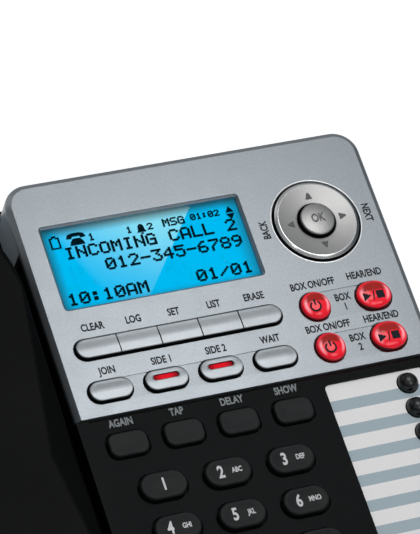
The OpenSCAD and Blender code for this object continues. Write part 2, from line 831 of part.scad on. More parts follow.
// loudspeaker under the slotted part of the deck
module loudspeaker() {
    color(GREY) on_face() translate([hs_u, spk_v, -drop - wall]) mirror([0, 0, 1]) {
        difference() {
            cylinder(r = spk_r, h = spk_rim);
            translate([0, 0, -1]) cylinder(r = spk_r - spk_edge, h = spk_rim);
        }
        translate([0, 0, spk_rim]) cylinder(r1 = spk_r - spk_edge + 1, r2 = spk_mag + 1, h = spk_cone);
        translate([0, 0, spk_rim + spk_cone]) cylinder(r = spk_mag, h = spk_mag_t);
    }
}

// sockets on the base plate: a block with a face plate, bored for a plug
module socket_body(w, l, h) {
    translate([-w / 2, -l, 0]) cube([w, l, h]);
    translate([-face_plate_w / 2, 0, 0]) cube([face_plate_w, wall, face_plate_h]);
}

module plug_socket(w, hole_w, slot_w) {
    difference() {
        socket_body(w, jack_l, jack_h);
        translate([-hole_w / 2, -sock_l, sock_z]) cube([hole_w, sock_l + wall + 1, line_h]);
        translate([-slot_w / 2, -sock_l, sock_z - latch_h]) cube([slot_w, sock_l + wall + 1, 2 * latch_h]);
    }
}

module rear_jacks() {
    color(GREY) translate([0, body_d / 2 - wall, seam_z]) {
        for (i = [0, 1]) translate([jack_u - i * jack_pitch, 0, 0]) plug_socket(jack_w, line_w, latch_w);
        translate([power_u, 0, 0]) {
            difference() {
                socket_body(power_w, power_l, power_h);
                translate([0, wall + 1, power_z]) rotate([90, 0, 0])
                    cylinder(r = power_r, h = power_d + wall + 1);
            }
            translate([0, 0, power_z]) rotate([90, 0, 0]) cylinder(r = pin_r, h = power_d + 1);
        }
    }
}

module handset_jack() {
    color(GREY) translate([-body_w / 2 + wall, hjack_y, seam_z]) rotate([0, 0, 90])
        plug_socket(hjack_w, hsock_w, hlatch_w);
}

// handset: elliptic ends, flat back whose side facets widen towards the grip
hs_end = 35;
hs_n = 7;
mid_facet = 9;
grip_in_w = hs_w - 2 * mid_facet - 4;
grip_ends = 20;
grip_in_l = hs_len - 2 * grip_ends;
grip_in_r = 8;
function hs_s(k) = hs_end * (1 - cos(8 + 82 * k / hs_n));
function hs_half(k) = hs_w / 2 * sin(8 + 82 * k / hs_n);
hs_mid = [for (i = [1:5]) hs_end + i * (hs_len / 2 - hs_end) / 5];
hs_rows_a = concat([for (k = [0:hs_n]) [hs_s(k), hs_half(k), 0.7 + 0.3 * (hs_n - k)]],
    [for (s = hs_mid) [s, hs_w / 2, 0.7 + (mid_facet - 0.7) * (s - hs_end) / (hs_len / 2 - hs_end)]]);
hs_rows = concat(hs_rows_a, [for (i = [len(hs_rows_a) - 2:-1:0])
    [hs_len - hs_rows_a[i][0], hs_rows_a[i][1], hs_rows_a[i][2]]]);
hs_count = len(hs_rows);
function hs_fall(s) = 2.2 * pow(max(0, 1 - min(s, hs_len - s) / 16), 2);
function hs_drop(f) = 0.6 + 0.32 * f;
function hs_ring(r) =
    let (v = hs_v + hs_len / 2 - r[0], t = hs_top - hs_fall(r[0]), f = min(r[2], r[1] * 0.6))
    [[-r[1], v, 0], [-r[1], v, t - hs_drop(f)], [f - r[1], v, t], [r[1] - f, v, t],
        [r[1], v, t - hs_drop(f)], [r[1], v, 0]];
hs_points = [for (r = hs_rows) each hs_ring(r)];
hs_faces = concat([[for (i = [5:-1:0]) i]], [[for (i = [0:5]) 6 * (hs_count - 1) + i]],
    [for (k = [0:hs_count - 2], i = [0:5])
        each [[6 * k + i, 6 * k + (i + 1) % 6, 6 * k + 6 + (i + 1) % 6],
            [6 * k + i, 6 * k + 6 + (i + 1) % 6, 6 * k + 6 + i]]]);
hs_outline = concat([for (r = hs_rows) [r[1], hs_v + hs_len / 2 - r[0]]],
    [for (i = [hs_count - 1:-1:0]) [-hs_rows[i][1], hs_v + hs_len / 2 - hs_rows[i][0]]]);

module handset_back() {
    color(BLACK) on_face() translate([hs_u, 0, 0]) difference() {
        polyhedron(points = hs_points, faces = hs_faces);
        translate([0, hs_v, -1]) linear_extrude(hs_top + 1 - hs_wall) rrect(grip_in_w, grip_in_l, grip_in_r);
    }
}

cap_side = [[2, -cap_dn], [0.6, 0.6 - cap_dn], [0, 2 - cap_dn], [0, -1]];
hsock_h = 6;

module handset_face() {
    color(BLACK) on_face() translate([hs_u, 0, 0]) difference() {
        union() {
            translate([0, 0, -grip_dn]) linear_extrude(grip_dn) polygon(hs_outline);
            for (v = [ear_v, mouth_v]) translate([0, v, 0]) disc(cap_r, cap_side);
        }
        translate([0, hs_v, hs_wall - grip_dn]) linear_extrude(grip_dn)
            rrect(grip_in_w, grip_in_l, grip_in_r);
        for (v = [ear_v, mouth_v]) translate([0, v, hs_wall - cap_dn])
            cylinder(r = cap_r - hs_wall, h = cap_dn - hs_wall + 1);
        for (v = [ear_v, mouth_v], a = [0:60:300]) translate([0, v, -cap_dn - 1]) rotate([0, 0, a])
            translate([6, 0, 0]) cylinder(r = 1.1, h = hs_wall + 2);
        translate([-hsock_w / 2, hs_v - hs_len / 2 - 1, 1 - grip_dn]) cube([hsock_w, sock_l, hsock_h]);
    }
}

ear_t = 7;
mouth_r = 8.5;
mouth_t = 5;
capsule_dn = 1.5;
ear_ring = 6.3;

module handset_capsules() {
    color(GREY) on_face() translate([hs_u, 0, hs_wall - cap_dn]) {
        translate([0, ear_v, 0]) difference() {
            cylinder(r = cap_r - hs_wall - 0.4, h = ear_t);
            translate([0, 0, -1]) cylinder(r = cap_r - hs_wall - ear_ring, h = capsule_dn + 1);
        }
        translate([0, mouth_v, 0]) difference() {
            cylinder(r = mouth_r, h = mouth_t);
            translate([0, 0, -1]) cylinder(r = mouth_r - 1.1, h = capsule_dn + 1);
        }
    }
}

module hook_plunger() {
    color(GREY) on_face() translate([hs_u, hook_v, 0])
        pill(hook_w, hook_h, [[-1.2, -drop - wall - hook_up - 1.9], [-1.2, -drop - wall - hook_up - 0.4],
            [0, -drop - wall - hook_up - 0.4], [0, -grip_dn - 1.5], [0.4, -grip_dn - 0.7],
            [1.2, -grip_dn - 0.3]]);
}

base_plate();
main_housing();
display_panel();
display_lens();
lcd_module();
main_board();
key_mat();
loudspeaker();
memory_card();
rubber_feet();
case_screws();
rear_jacks();
handset_jack();
handset_back();
handset_face();
handset_capsules();
hook_plunger();
soft_key_1();
soft_key_2();
soft_key_3();
soft_key_4();
soft_key_5();
join_key();
line_1_key();
line_2_key();
hold_key();
line_1_lamp();
line_2_lamp();
answer_key_1();
answer_key_2();
play_key_1();
play_key_2();
nav_carrier();
nav_ring();
enter_key();
dial_key_1();
dial_key_2();
dial_key_3();
dial_key_4();
dial_key_5();
dial_key_6();
dial_key_7();
dial_key_8();
dial_key_9();
dial_key_star();
dial_key_0();
dial_key_hash();
redial_key();
flash_key();
pause_key();
preview_key();
mute_key();
speaker_key();
volume_rocker();
memory_key_1();
memory_key_2();
memory_key_3();
memory_key_4();
memory_key_5();
memory_key_6();
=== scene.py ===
# %% [markdown]
# # A corded desk telephone
# The object is a sloping desk telephone with a silver display panel, a round navigation dial, a black key
# deck and a handset in a bay on the left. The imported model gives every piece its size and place. This
# lesson builds finer meshes and finishes around that frame, in the same coordinates. The places of
# the words, the colours and the camera were set by comparing renders with the photograph.

# %% Load the frame
import json
import math
from collections import namedtuple

import bmesh
import bpy
from mathutils import Matrix, Quaternion, Vector, geometry


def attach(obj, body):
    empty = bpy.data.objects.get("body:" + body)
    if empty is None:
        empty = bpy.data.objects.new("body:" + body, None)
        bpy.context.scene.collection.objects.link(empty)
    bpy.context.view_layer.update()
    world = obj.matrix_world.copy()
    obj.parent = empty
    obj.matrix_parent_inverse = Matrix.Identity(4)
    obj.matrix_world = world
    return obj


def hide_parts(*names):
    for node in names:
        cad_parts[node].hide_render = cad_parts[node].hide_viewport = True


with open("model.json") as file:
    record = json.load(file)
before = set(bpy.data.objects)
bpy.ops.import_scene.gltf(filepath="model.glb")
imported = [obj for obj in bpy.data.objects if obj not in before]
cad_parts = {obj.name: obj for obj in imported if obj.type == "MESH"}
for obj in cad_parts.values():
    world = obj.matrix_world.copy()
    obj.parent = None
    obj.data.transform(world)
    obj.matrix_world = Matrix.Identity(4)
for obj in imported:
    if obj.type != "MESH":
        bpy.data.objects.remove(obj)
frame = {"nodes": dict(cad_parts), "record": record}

nodes = frame["nodes"]
scene = bpy.context.scene
scene.view_settings.view_transform = "Standard"
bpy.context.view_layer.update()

# %% [markdown]
# ## The sloping face
# Almost everything on a telephone lies on one sloping plane. Working in the frame of that plane keeps the
# numbers simple: u runs to the right, v runs up the slope with zero at the rear edge, and w stands out of
# the face. The plane is measured on the display panel, which is its highest and rearmost piece.

# %% Find the face
MM = 0.001
TILT = math.radians(22.0)
flat = Matrix.Rotation(-TILT, 4, "X")
panel_corners = [flat @ v.co for v in nodes["display_panel"].data.vertices]
rear_edge = max(p.y for p in panel_corners)
face_height = max(p.z for p in panel_corners)
FACE = Matrix.Rotation(TILT, 4, "X") @ Matrix.Translation((0, rear_edge, face_height)) @ Matrix.Scale(MM, 4)
TO_FACE = FACE.inverted()


def span(node):
    """Lowest and highest corner of a CAD node in the face frame, in mm."""
    points = [TO_FACE @ v.co for v in nodes[node].data.vertices]
    low = Vector([min(p[i] for p in points) for i in range(3)])
    high = Vector([max(p[i] for p in points) for i in range(3)])
    return low, high


def footprint(node, inset=0.0):
    """Middle, width and height of a CAD node on the face, drawn in by an inset."""
    low, high = span(node)
    return (low + high) / 2, high.x - low.x - 2 * inset, high.y - low.y - 2 * inset


def middle(node):
    return footprint(node)[0]


panel_low, panel_high = span("display_panel")
dial = middle("nav_ring")
print("panel in mm:", [round(v, 2) for v in panel_high - panel_low])
print("dial at", round(dial.x, 2), round(dial.y, 2))

# %% [markdown]
# ## Camera
# The photograph is taken with a long lens from the front left, about forty degrees above the desk, with
# the camera rolled a little. A long lens keeps the panel's edges nearly parallel. The aim is a point on
# the panel, given from the middle of the dial.

# %% Camera
LENS = 216.4
SENSOR = 36.0
AWAY = 1.0579
AIM_FROM_DIAL = (-41.7, -9.6)
AZIMUTH = math.radians(26.11)
ELEVATION = math.radians(39.53)
ROLL = math.radians(6.94)
aim = FACE @ Vector((dial.x + AIM_FROM_DIAL[0], dial.y + AIM_FROM_DIAL[1], 0))
level = math.cos(ELEVATION)
forward = Vector((math.sin(AZIMUTH) * level, math.cos(AZIMUTH) * level, -math.sin(ELEVATION)))
camera = bpy.data.objects.new("camera", bpy.data.cameras.new("camera"))
camera.data.lens = LENS
camera.data.sensor_width = SENSOR
camera.location = aim - forward * AWAY
camera.rotation_mode = "QUATERNION"
camera.rotation_quaternion = forward.to_track_quat("-Z", "Y") @ Quaternion((0, 0, 1), ROLL)
scene.collection.objects.link(camera)
scene.camera = camera
print("camera at", [round(v, 3) for v in camera.location])

# %% [markdown]
# ## Floor and light
# A product photograph on white has soft lamps above and in front. The surround is a dome that is
# brightest overhead, with a dim card behind the telephone and a small bright one at its rear left, which
# the bevels mirror. A small lamp at the front left lifts the lower left of the panel. The floor looks
# white and still takes the telephone's shadow. First come a few helpers that make node trees short to
# write.

# %% Node helpers
def settle(made, **values):
    """Sets a node's unlinked inputs by name."""
    for name, value in values.items():
        made.inputs[name.replace("_", " ")].default_value = value
    return made


def put(tree, kind, **values):
    """Adds a shader node and settles its inputs."""
    return settle(tree.nodes.new(kind), **values)


def wire(tree, *pairs):
    for output, entry in pairs:
        tree.links.new(output, entry)


def calculate(tree, how, first, *others):
    """Math nodes over two or more values; each one is a number or an output."""
    for other in others:
        made = tree.nodes.new("ShaderNodeMath")
        made.operation = how
        for entry, value in zip(made.inputs, (first, other)):
            if isinstance(value, (int, float)):
                entry.default_value = value
            else:
                tree.links.new(value, entry)
        first = made.outputs[0]
    return first


def times(tree, *values):
    return calculate(tree, "MULTIPLY", *values)


def plus(tree, *values):
    return calculate(tree, "ADD", *values)


def minus(tree, *values):
    return calculate(tree, "SUBTRACT", *values)


def remap(tree, value, low, high, to_low, to_high):
    """A clamped map range node."""
    made = put(tree, "ShaderNodeMapRange", From_Min=low, From_Max=high, To_Min=to_low, To_Max=to_high)
    tree.links.new(value, made.inputs["Value"])
    return made.outputs["Result"]


def coordinates(tree, kind):
    return tree.nodes.new("ShaderNodeTexCoord").outputs[kind]


print("node helpers ready")

# %% Floor
FLOOR_HALF = 3.0
FLOOR_GREY = (0.72, 0.72, 0.72, 1)
FLOOR_GLOW = 0.62


def seen_directly(tree):
    """One for rays from the camera, a mirror or a clear piece, else zero."""
    path = tree.nodes.new("ShaderNodeLightPath")
    rays = [path.outputs["Is %s Ray" % kind] for kind in ("Camera", "Glossy", "Transmission")]
    return calculate(tree, "MAXIMUM", *rays)


def floor_finish():
    made = bpy.data.materials.new("pale_floor")
    made.use_nodes = True
    tree = made.node_tree
    tree.nodes.clear()
    paint = put(tree, "ShaderNodeBsdfDiffuse", Color=FLOOR_GREY)
    glow = put(tree, "ShaderNodeEmission", Color=(1, 1, 1, 1))
    both = tree.nodes.new("ShaderNodeAddShader")
    out = tree.nodes.new("ShaderNodeOutputMaterial")
    wire(tree, (times(tree, seen_directly(tree), FLOOR_GLOW), glow.inputs["Strength"]),
         (paint.outputs[0], both.inputs[0]), (glow.outputs[0], both.inputs[1]),
         (both.outputs[0], out.inputs[0]))
    return made


floor_mesh = bpy.data.meshes.new("floor")
corners = [(x * FLOOR_HALF, y * FLOOR_HALF, 0) for x, y in ((-1, -1), (1, -1), (1, 1), (-1, 1))]
floor_mesh.from_pydata(corners, [], [(0, 1, 2, 3)])
floor_mesh.materials.append(floor_finish())
floor = bpy.data.objects.new("floor", floor_mesh)
scene.collection.objects.link(floor)
print("floor of", 2 * FLOOR_HALF, "m")

# %% World
SKY_TOP = Vector((0.12, -0.30, 0.95)).normalized()
BACKDROP = Vector((0.10, 0.95, 0.30)).normalized()
SIDE_CARD = Vector((-0.62, 0.66, 0.42)).normalized()
ROOM = (0.056, 0.072, 0.086)
world = bpy.data.worlds.new("studio")
world.use_nodes = True
scene.world = world
tree = world.node_tree


def toward(direction, low, high, gain):
    """Light that grows towards one direction of the studio."""
    made = tree.nodes.new("ShaderNodeVectorMath")
    made.operation = "DOT_PRODUCT"
    made.inputs[1].default_value = direction
    wire(tree, (coordinates(tree, "Generated"), made.inputs[0]))
    return remap(tree, made.outputs["Value"], low, high, 0.0, gain)


glow = plus(tree, toward(SKY_TOP, 0.35, 0.92, 0.50), toward(BACKDROP, 0.55, 0.98, 0.34),
            toward(SIDE_CARD, 0.90, 0.97, 0.60))
cool = tree.nodes.new("ShaderNodeVectorMath")
cool.operation = "ADD"
cool.inputs[1].default_value = ROOM
wire(tree, (glow, cool.inputs[0]), (cool.outputs[0], tree.nodes["Background"].inputs["Color"]))
print("world of", len(tree.nodes), "nodes")

# %% Lamps
def soft_lamp(name, place, target, size, power):
    """A round soft lamp. It lights the telephone but is not seen itself."""
    made = bpy.data.objects.new(name, bpy.data.lights.new(name, "AREA"))
    made.data.shape = "DISK"
    made.data.size = size
    made.data.energy = power
    made.location = place
    made.rotation_mode = "QUATERNION"
    made.rotation_quaternion = (Vector(target) - Vector(place)).to_track_quat("-Z", "Y")
    made.visible_camera = False
    scene.collection.objects.link(made)


soft_lamp("front_lamp", (0.24, -0.44, 0.52), (0.02, 0.0, 0.06), 0.30, 0.70)
soft_lamp("front_left_lamp", (-0.26, -0.30, 0.56), (0.0, 0.0, 0.06), 0.10, 0.09)
soft_lamp("overhead_lamp", (0.145, -0.015, 0.56), (0.0, 0.0, 0.06), 0.26, 0.62)
print("lamps:", len(bpy.data.lights))

# %% [markdown]
# ## Shared finishes
# Several pieces share an effect: the silver pieces are sprayed with a metallic paint whose flakes show as
# a fine grain, the black pieces come from a spark-eroded mould, and all of them are touched by hands.
# Each effect is a node group with named sockets, built once. The groups put out colours, heights and
# roughness that vary, and the shader itself stays in each material.

# %% Helpers for the groups
FLOAT = "NodeSocketFloat"
COLOUR = "NodeSocketColor"


def new_group(name, entries, results):
    made = bpy.data.node_groups.new(name, "ShaderNodeTree")
    for label, kind, value in entries:
        made.interface.new_socket(label, in_out="INPUT", socket_type=kind).default_value = value
    for label, kind in results:
        made.interface.new_socket(label, in_out="OUTPUT", socket_type=kind)
    return made, made.nodes.new("NodeGroupInput"), made.nodes.new("NodeGroupOutput")


def cloud(tree, scale, detail=2.0, roughness=0.5):
    """Noise over the piece's own coordinates, in features per metre."""
    made = put(tree, "ShaderNodeTexNoise", Detail=detail, Roughness=roughness)
    if isinstance(scale, (int, float)):
        made.inputs["Scale"].default_value = scale
    else:
        tree.links.new(scale, made.inputs["Scale"])
    tree.links.new(coordinates(tree, "Object"), made.inputs["Vector"])
    return made.outputs["Fac"]


def tinted(tree, colour, factor):
    """A colour times a grey factor."""
    made = tree.nodes.new("ShaderNodeVectorMath")
    made.operation = "SCALE"
    wire(tree, (colour, made.inputs[0]), (factor, made.inputs["Scale"]))
    return made.outputs[0]


print("group helpers ready")

# %% Node groups
FLAKES_PER_M = 1900.0
PAINT_DRIFT = 0.03


def flake_group():
    entries = [("Paint", COLOUR, (0.4, 0.4, 0.4, 1)), ("Sparkle", FLOAT, 0.1)]
    tree, entry, result = new_group("metal_flake", entries, [("Color", COLOUR), ("Height", FLOAT)])
    fine = cloud(tree, FLAKES_PER_M, 3.0, 0.75)
    grain = times(tree, minus(tree, fine, 0.5), entry.outputs["Sparkle"])
    drift = times(tree, minus(tree, cloud(tree, 45.0), 0.5), PAINT_DRIFT)
    colour = tinted(tree, entry.outputs["Paint"], plus(tree, grain, drift, 1.0))
    wire(tree, (colour, result.inputs["Color"]), (fine, result.inputs["Height"]))
    return tree


def moulded_group():
    entries = [("Plastic", COLOUR, (0.03, 0.03, 0.03, 1)), ("Scale", FLOAT, 2500.0),
               ("Roughness", FLOAT, 0.5)]
    results = [("Color", COLOUR), ("Roughness", FLOAT), ("Height", FLOAT)]
    tree, entry, result = new_group("moulded_grain", entries, results)
    grain = cloud(tree, entry.outputs["Scale"], 2.0, 0.6)
    broad = cloud(tree, 38.0, 3.0)
    colour = tinted(tree, entry.outputs["Plastic"], remap(tree, broad, 0.3, 0.7, 0.9, 1.1))
    matte = remap(tree, plus(tree, broad, times(tree, grain, 0.5)), 0.4, 1.1, -0.05, 0.06)
    wire(tree, (colour, result.inputs["Color"]), (grain, result.inputs["Height"]),
         (plus(tree, entry.outputs["Roughness"], matte), result.inputs["Roughness"]))
    return tree


def wear_group():
    entries = [("Color", COLOUR, (0.4, 0.4, 0.4, 1)), ("Amount", FLOAT, 0.3)]
    tree, entry, result = new_group("edge_wear", entries, [("Color", COLOUR)])
    bend = tree.nodes.new("ShaderNodeNewGeometry").outputs["Pointiness"]
    edge = remap(tree, bend, 0.52, 0.62, 0.0, 1.0)
    patches = remap(tree, cloud(tree, 300.0, 3.0), 0.35, 0.7, 0.2, 1.0)
    factor = plus(tree, times(tree, edge, patches, entry.outputs["Amount"]), 1.0)
    wire(tree, (tinted(tree, entry.outputs["Color"], factor), result.inputs["Color"]))
    return tree


FLAKE = flake_group()
MOULDED = moulded_group()
WEAR = wear_group()
print("groups:", FLAKE.name, MOULDED.name, WEAR.name)

# %% [markdown]
# ## Materials
# The silver is a metallic paint on plastic, so it is only partly metallic and has a soft gloss. The
# blacks are bare moulded plastic. Every material starts from the same small function and then gets its
# own values, and it is kept under its name, because the frame's material slots have the same names.

# %% Makers of materials
slot_finish = {}


def blank(name):
    made = bpy.data.materials.new(name)
    made.use_nodes = True
    slot_finish[name] = made
    return made, made.node_tree, made.node_tree.nodes["Principled BSDF"]


def use_group(tree, group, **values):
    made = tree.nodes.new("ShaderNodeGroup")
    made.node_tree = group
    return settle(made, **values)


def emboss(tree, shader, height, strength, distance):
    made = put(tree, "ShaderNodeBump", Strength=strength, Distance=distance)
    wire(tree, (height, made.inputs["Height"]), (made.outputs["Normal"], shader.inputs["Normal"]))


def sprayed(name, paint, sparkle, metallic, roughness, wear=0.15):
    """Metallic paint over plastic."""
    made, tree, shader = blank(name)
    flake = use_group(tree, FLAKE, Paint=(*paint, 1), Sparkle=sparkle)
    rubbed = use_group(tree, WEAR, Amount=wear)
    rough = remap(tree, cloud(tree, 120.0, 3.0), 0.3, 0.7, roughness - 0.012, roughness + 0.015)
    wire(tree, (flake.outputs["Color"], rubbed.inputs["Color"]),
         (rubbed.outputs["Color"], shader.inputs["Base Color"]), (rough, shader.inputs["Roughness"]))
    settle(shader, Metallic=metallic)
    emboss(tree, shader, flake.outputs["Height"], 0.12, 0.00004)
    return made


def moulded(name, plastic, scale, roughness, bump, wear=0.35, gloss=0.5):
    """Bare plastic from a spark-eroded mould."""
    made, tree, shader = blank(name)
    grain = use_group(tree, MOULDED, Plastic=(*plastic, 1), Scale=scale, Roughness=roughness)
    rubbed = use_group(tree, WEAR, Amount=wear)
    wire(tree, (grain.outputs["Color"], rubbed.inputs["Color"]),
         (rubbed.outputs["Color"], shader.inputs["Base Color"]),
         (grain.outputs["Roughness"], shader.inputs["Roughness"]))
    settle(shader, Specular_IOR_Level=gloss)
    emboss(tree, shader, grain.outputs["Height"], bump, 0.00006)
    return made


print("makers: sprayed, moulded")

# %% Painted and moulded materials
panel_silver = sprayed("panel_silver", (0.286, 0.310, 0.330), 0.55, 0.88, 0.40)
# A lighter, bluer and less metallic copy of the panel silver, for the deep wall at the left: painted light on
# that wall.
wing_silver_painted_light = sprayed("wing_silver_painted_light", (0.52, 0.60, 0.66), 0.40, 0.30, 0.42)
lane_silver = sprayed("lane_silver", (0.276, 0.300, 0.319), 0.55, 0.88, 0.42)
key_silver = sprayed("key_silver", (0.305, 0.325, 0.341), 0.30, 0.88, 0.38)
ring_satin = sprayed("ring_satin", (0.30, 0.298, 0.293), 0.22, 0.95, 0.38, wear=0.05)
ring_polish = sprayed("ring_polish", (0.72, 0.72, 0.71), 0.05, 1.0, 0.17, wear=0.0)
bead_bright = sprayed("bead_bright", (0.76, 0.77, 0.78), 0.05, 0.9, 0.38, wear=0.0)
sprayed("inner_metal", (0.50, 0.50, 0.51), 0.12, 0.95, 0.36)
moulded("housing_black", (0.0034, 0.0042, 0.0044), 2600.0, 0.46, 0.35, gloss=0.06)
handset_black = moulded("handset_black", (0.0022, 0.0024, 0.0024), 3200.0, 0.40, 0.22, gloss=0.045)
key_black = moulded("key_black", (0.0042, 0.0050, 0.0054), 3800.0, 0.40, 0.20, gloss=0.14)
# Black for the sides below a piece's top edge; on the dial's ring and centre key this black is painted shade.
black_side = moulded("key_core_black", (0.0040, 0.0045, 0.0050), 3800.0, 0.55, 0.10, wear=0.0, gloss=0.15)
gloss_black = moulded("key_gloss_black", (0.0035, 0.0035, 0.004), 900.0, 0.27, 0.03, wear=0.1, gloss=0.4)
moulded("socket_black", (0.010, 0.010, 0.011), 2200.0, 0.48, 0.30)
moulded("foot_rubber", (0.016, 0.016, 0.017), 1500.0, 0.78, 0.60, wear=0.1)
moulded("mat_rubber", (0.16, 0.16, 0.165), 1800.0, 0.70, 0.40, wear=0.1)
moulded("board_green", (0.02, 0.13, 0.055), 700.0, 0.40, 0.15, wear=0.1)
print("painted and moulded materials:", len(slot_finish))

# %% Inks
INK_SCALE = 5200.0


def ink(name, colour, roughness, bump=0.10, gloss=0.5, **more):
    """Printing ink, with further values of the shader where it needs them."""
    made = moulded(name, colour, INK_SCALE, roughness, bump, 0.0, gloss)
    settle(made.node_tree.nodes["Principled BSDF"], **more)
    return made


label_ink = ink("label_ink", (0.010, 0.012, 0.016), 0.70, gloss=0.2)
deck_ink = ink("deck_ink", (0.22, 0.24, 0.25), 0.60)
arrow_grey = ink("arrow_grey", (0.125, 0.125, 0.128), 0.60, gloss=0.2)
key_ink = ink("key_ink", (0.62, 0.63, 0.63), 0.55)
# A half-clear dark for the painted shadow under the display's dots.
dot_shadow = ink("dot_shadow", (0.0, 0.02, 0.04), 0.80, 0.0, 0.0, Alpha=0.38)
pixel_ink = ink("pixel_ink", (0.0005, 0.001, 0.002), 0.80, 0.0, 0.0,
                Emission_Color=(0.0, 0.007, 0.0116, 1), Emission_Strength=1.0)
print("all plain materials:", len(slot_finish))

# %% [markdown]
# The red keys are dyed plastic with a polished skin. Light that enters such a key leaves it again near
# the rim, so the rim looks paler than the middle. Real scattering shows that too, but it is slow and noisy,
# so here light and shade are painted into the colour by the place on the dome, which each key's mesh keeps
# as a UV layer: painted shade over the rear of the top, painted highlights at the left and right of the
# rim, painted shade on the foot towards the lower left and a dark painted edge where the key meets its
# hole. The colour is also emitted as a painted glow. The lens is nearly invisible.

# %% Red and clear materials
# The red of the dye, then the colours of its painted shade at the rear, its painted highlight at the rim and
# its painted shade at the foot.
RED_BRIGHT = (0.68, 0.006, 0.020, 1)
RED_PAINTED_SHADE = (0.25, 0.006, 0.003, 1)
RED_PAINTED_HIGHLIGHT = (0.90, 0.30, 0.34, 1)
RED_PAINTED_FOOT_SHADE = (0.30, 0.006, 0.012, 1)


def blended(tree, factor, a, b):
    """A mix of two colours; each one is a plain colour or the output of a node."""
    mix = tree.nodes.new("ShaderNodeMix")
    mix.data_type = "RGBA"
    wire(tree, (factor, mix.inputs["Factor"]))
    for name, colour in (("A", a), ("B", b)):
        if isinstance(colour, tuple):
            mix.inputs[name].default_value = colour
        else:
            wire(tree, (colour, mix.inputs[name]))
    return mix.outputs["Result"]


# Red plastic whose colour also carries painted light and shade, by the place on the key.
def red_key_painted_light():
    made, tree, shader = blank("key_red")
    across = tree.nodes.new("ShaderNodeSeparateXYZ")
    wire(tree, (coordinates(tree, "UV"), across.inputs[0]))
    x = remap(tree, across.outputs["X"], 0.0, 1.0, -1.0, 1.0)
    y = remap(tree, across.outputs["Y"], 0.0, 1.0, -1.0, 1.0)
    beside = times(tree, x, x)
    out = plus(tree, beside, times(tree, y, y))
    # Painted shade over the rear of the top.
    rear = times(tree, remap(tree, y, 0.06, 0.24, 0.0, 1.0), remap(tree, out, 0.52, 0.76, 1.0, 0.0))
    # Painted highlights near the left and right of the rim, weaker towards the rear.
    painted_rim_highlight = times(tree, remap(tree, beside, 0.22, 0.50, 0.0, 1.0), remap(tree, out, 0.34, 0.50, 0.0, 1.0),
                 remap(tree, out, 0.58, 0.80, 1.0, 0.0), remap(tree, y, 0.20, 0.50, 1.0, 0.25))
    # Painted shade on the foot, strongest at the lower left.
    low = remap(tree, plus(tree, x, times(tree, y, 0.5)), -0.9, 0.1, 1.0, 0.2)
    foot = times(tree, remap(tree, out, 0.84, 0.97, 0.0, 1.0), low)
    body = blended(tree, rear, RED_BRIGHT, RED_PAINTED_SHADE)
    body = blended(tree, painted_rim_highlight, body, RED_PAINTED_HIGHLIGHT)
    body = blended(tree, foot, body, RED_PAINTED_FOOT_SHADE)
    streaks = remap(tree, cloud(tree, 260.0, 3.0), 0.3, 0.7, 0.92, 1.06)
    # A dark painted edge where the key meets its hole: painted shade.
    painted_edge_shade = remap(tree, out, 0.965, 1.0, 1.0, 0.1)
    red_and_painted_light = tinted(tree, body, times(tree, streaks, painted_edge_shade))
    # The red with its painted light and shade is also emitted: a painted glow.
    wire(tree, (red_and_painted_light, shader.inputs["Base Color"]), (red_and_painted_light, shader.inputs["Emission Color"]))
    settle(shader, Emission_Strength=0.5, Roughness=0.22, Specular_IOR_Level=0.1, Coat_Weight=0.5,
           Coat_Roughness=0.05)
    return made


def lens_finish():
    made, tree, shader = blank("lens_clear")
    settle(shader, Transmission_Weight=1.0, Roughness=0.0, IOR=1.02)
    film = remap(tree, cloud(tree, 90.0, 3.0), 0.3, 0.8, 1.0, 0.96)
    tint = tree.nodes.new("ShaderNodeCombineColor")
    wire(tree, (film, tint.inputs["Red"]), (film, tint.inputs["Green"]), (film, tint.inputs["Blue"]),
         (tint.outputs[0], shader.inputs["Base Color"]))
    return made


def face_place(tree):
    """Coordinates in the face frame, in mm."""
    made = tree.nodes.new("ShaderNodeMapping")
    made.inputs["Scale"].default_value = (1 / MM, 1 / MM, 1 / MM)
    made.inputs["Rotation"].default_value = (-TILT, 0, 0)
    made.inputs["Location"].default_value = (0, -rear_edge / MM, -face_height / MM)
    split = tree.nodes.new("ShaderNodeSeparateXYZ")
    wire(tree, (coordinates(tree, "Object"), made.inputs["Vector"]),
         (made.outputs["Vector"], split.inputs[0]))
    return split.outputs["X"], split.outputs["Y"]


key_red = red_key_painted_light()
lens_clear = lens_finish()
print("red and clear materials:", key_red.name, lens_clear.name)

# %% [markdown]
# ## Shapes from outlines
# Keys, slots and plates on such a panel are rounded rectangles whose sides follow a profile. A loft does
# this: copies of the outline, each with its own inset and height, joined by quads. Small steps at the
# corners of the profile make real rounded edges, which catch the light where a plain block would look cut
# out of card.

# %% Outlines
def outline(w, h, r, steps=8):
    """A rounded rectangle round the origin, counter-clockwise."""
    radius = max(min(r, w / 2, h / 2), 0.001)
    points = []
    for k, (sx, sy) in enumerate(((1, 1), (-1, 1), (-1, -1), (1, -1))):
        x = sx * (w / 2 - radius)
        y = sy * (h / 2 - radius)
        points += arc(x, y, radius, 90 * k, 90 * k + 90, steps)
    return points


def arc(x, y, r, start, end, steps=8):
    angles = [math.radians(start + (end - start) * i / steps) for i in range(steps + 1)]
    return [(x + r * math.cos(a), y + r * math.sin(a)) for a in angles]


def shrunk(w, h, r, inset, steps=8):
    """The same outline drawn in by an inset."""
    return outline(w - 2 * inset, h - 2 * inset, r - inset, steps)


def moved(points, x, y):
    return [(p[0] + x, p[1] + y) for p in points]


def lift(points, z):
    return [Vector((p[0], p[1], z)) for p in points]


def rounded(radius, steps=5):
    """Insets and drops along a quarter round, from the flat to the side."""
    angles = [math.radians(90 * i / steps) for i in range(steps + 1)]
    return [(radius * (1 - math.sin(a)), radius * (1 - math.cos(a))) for a in angles]


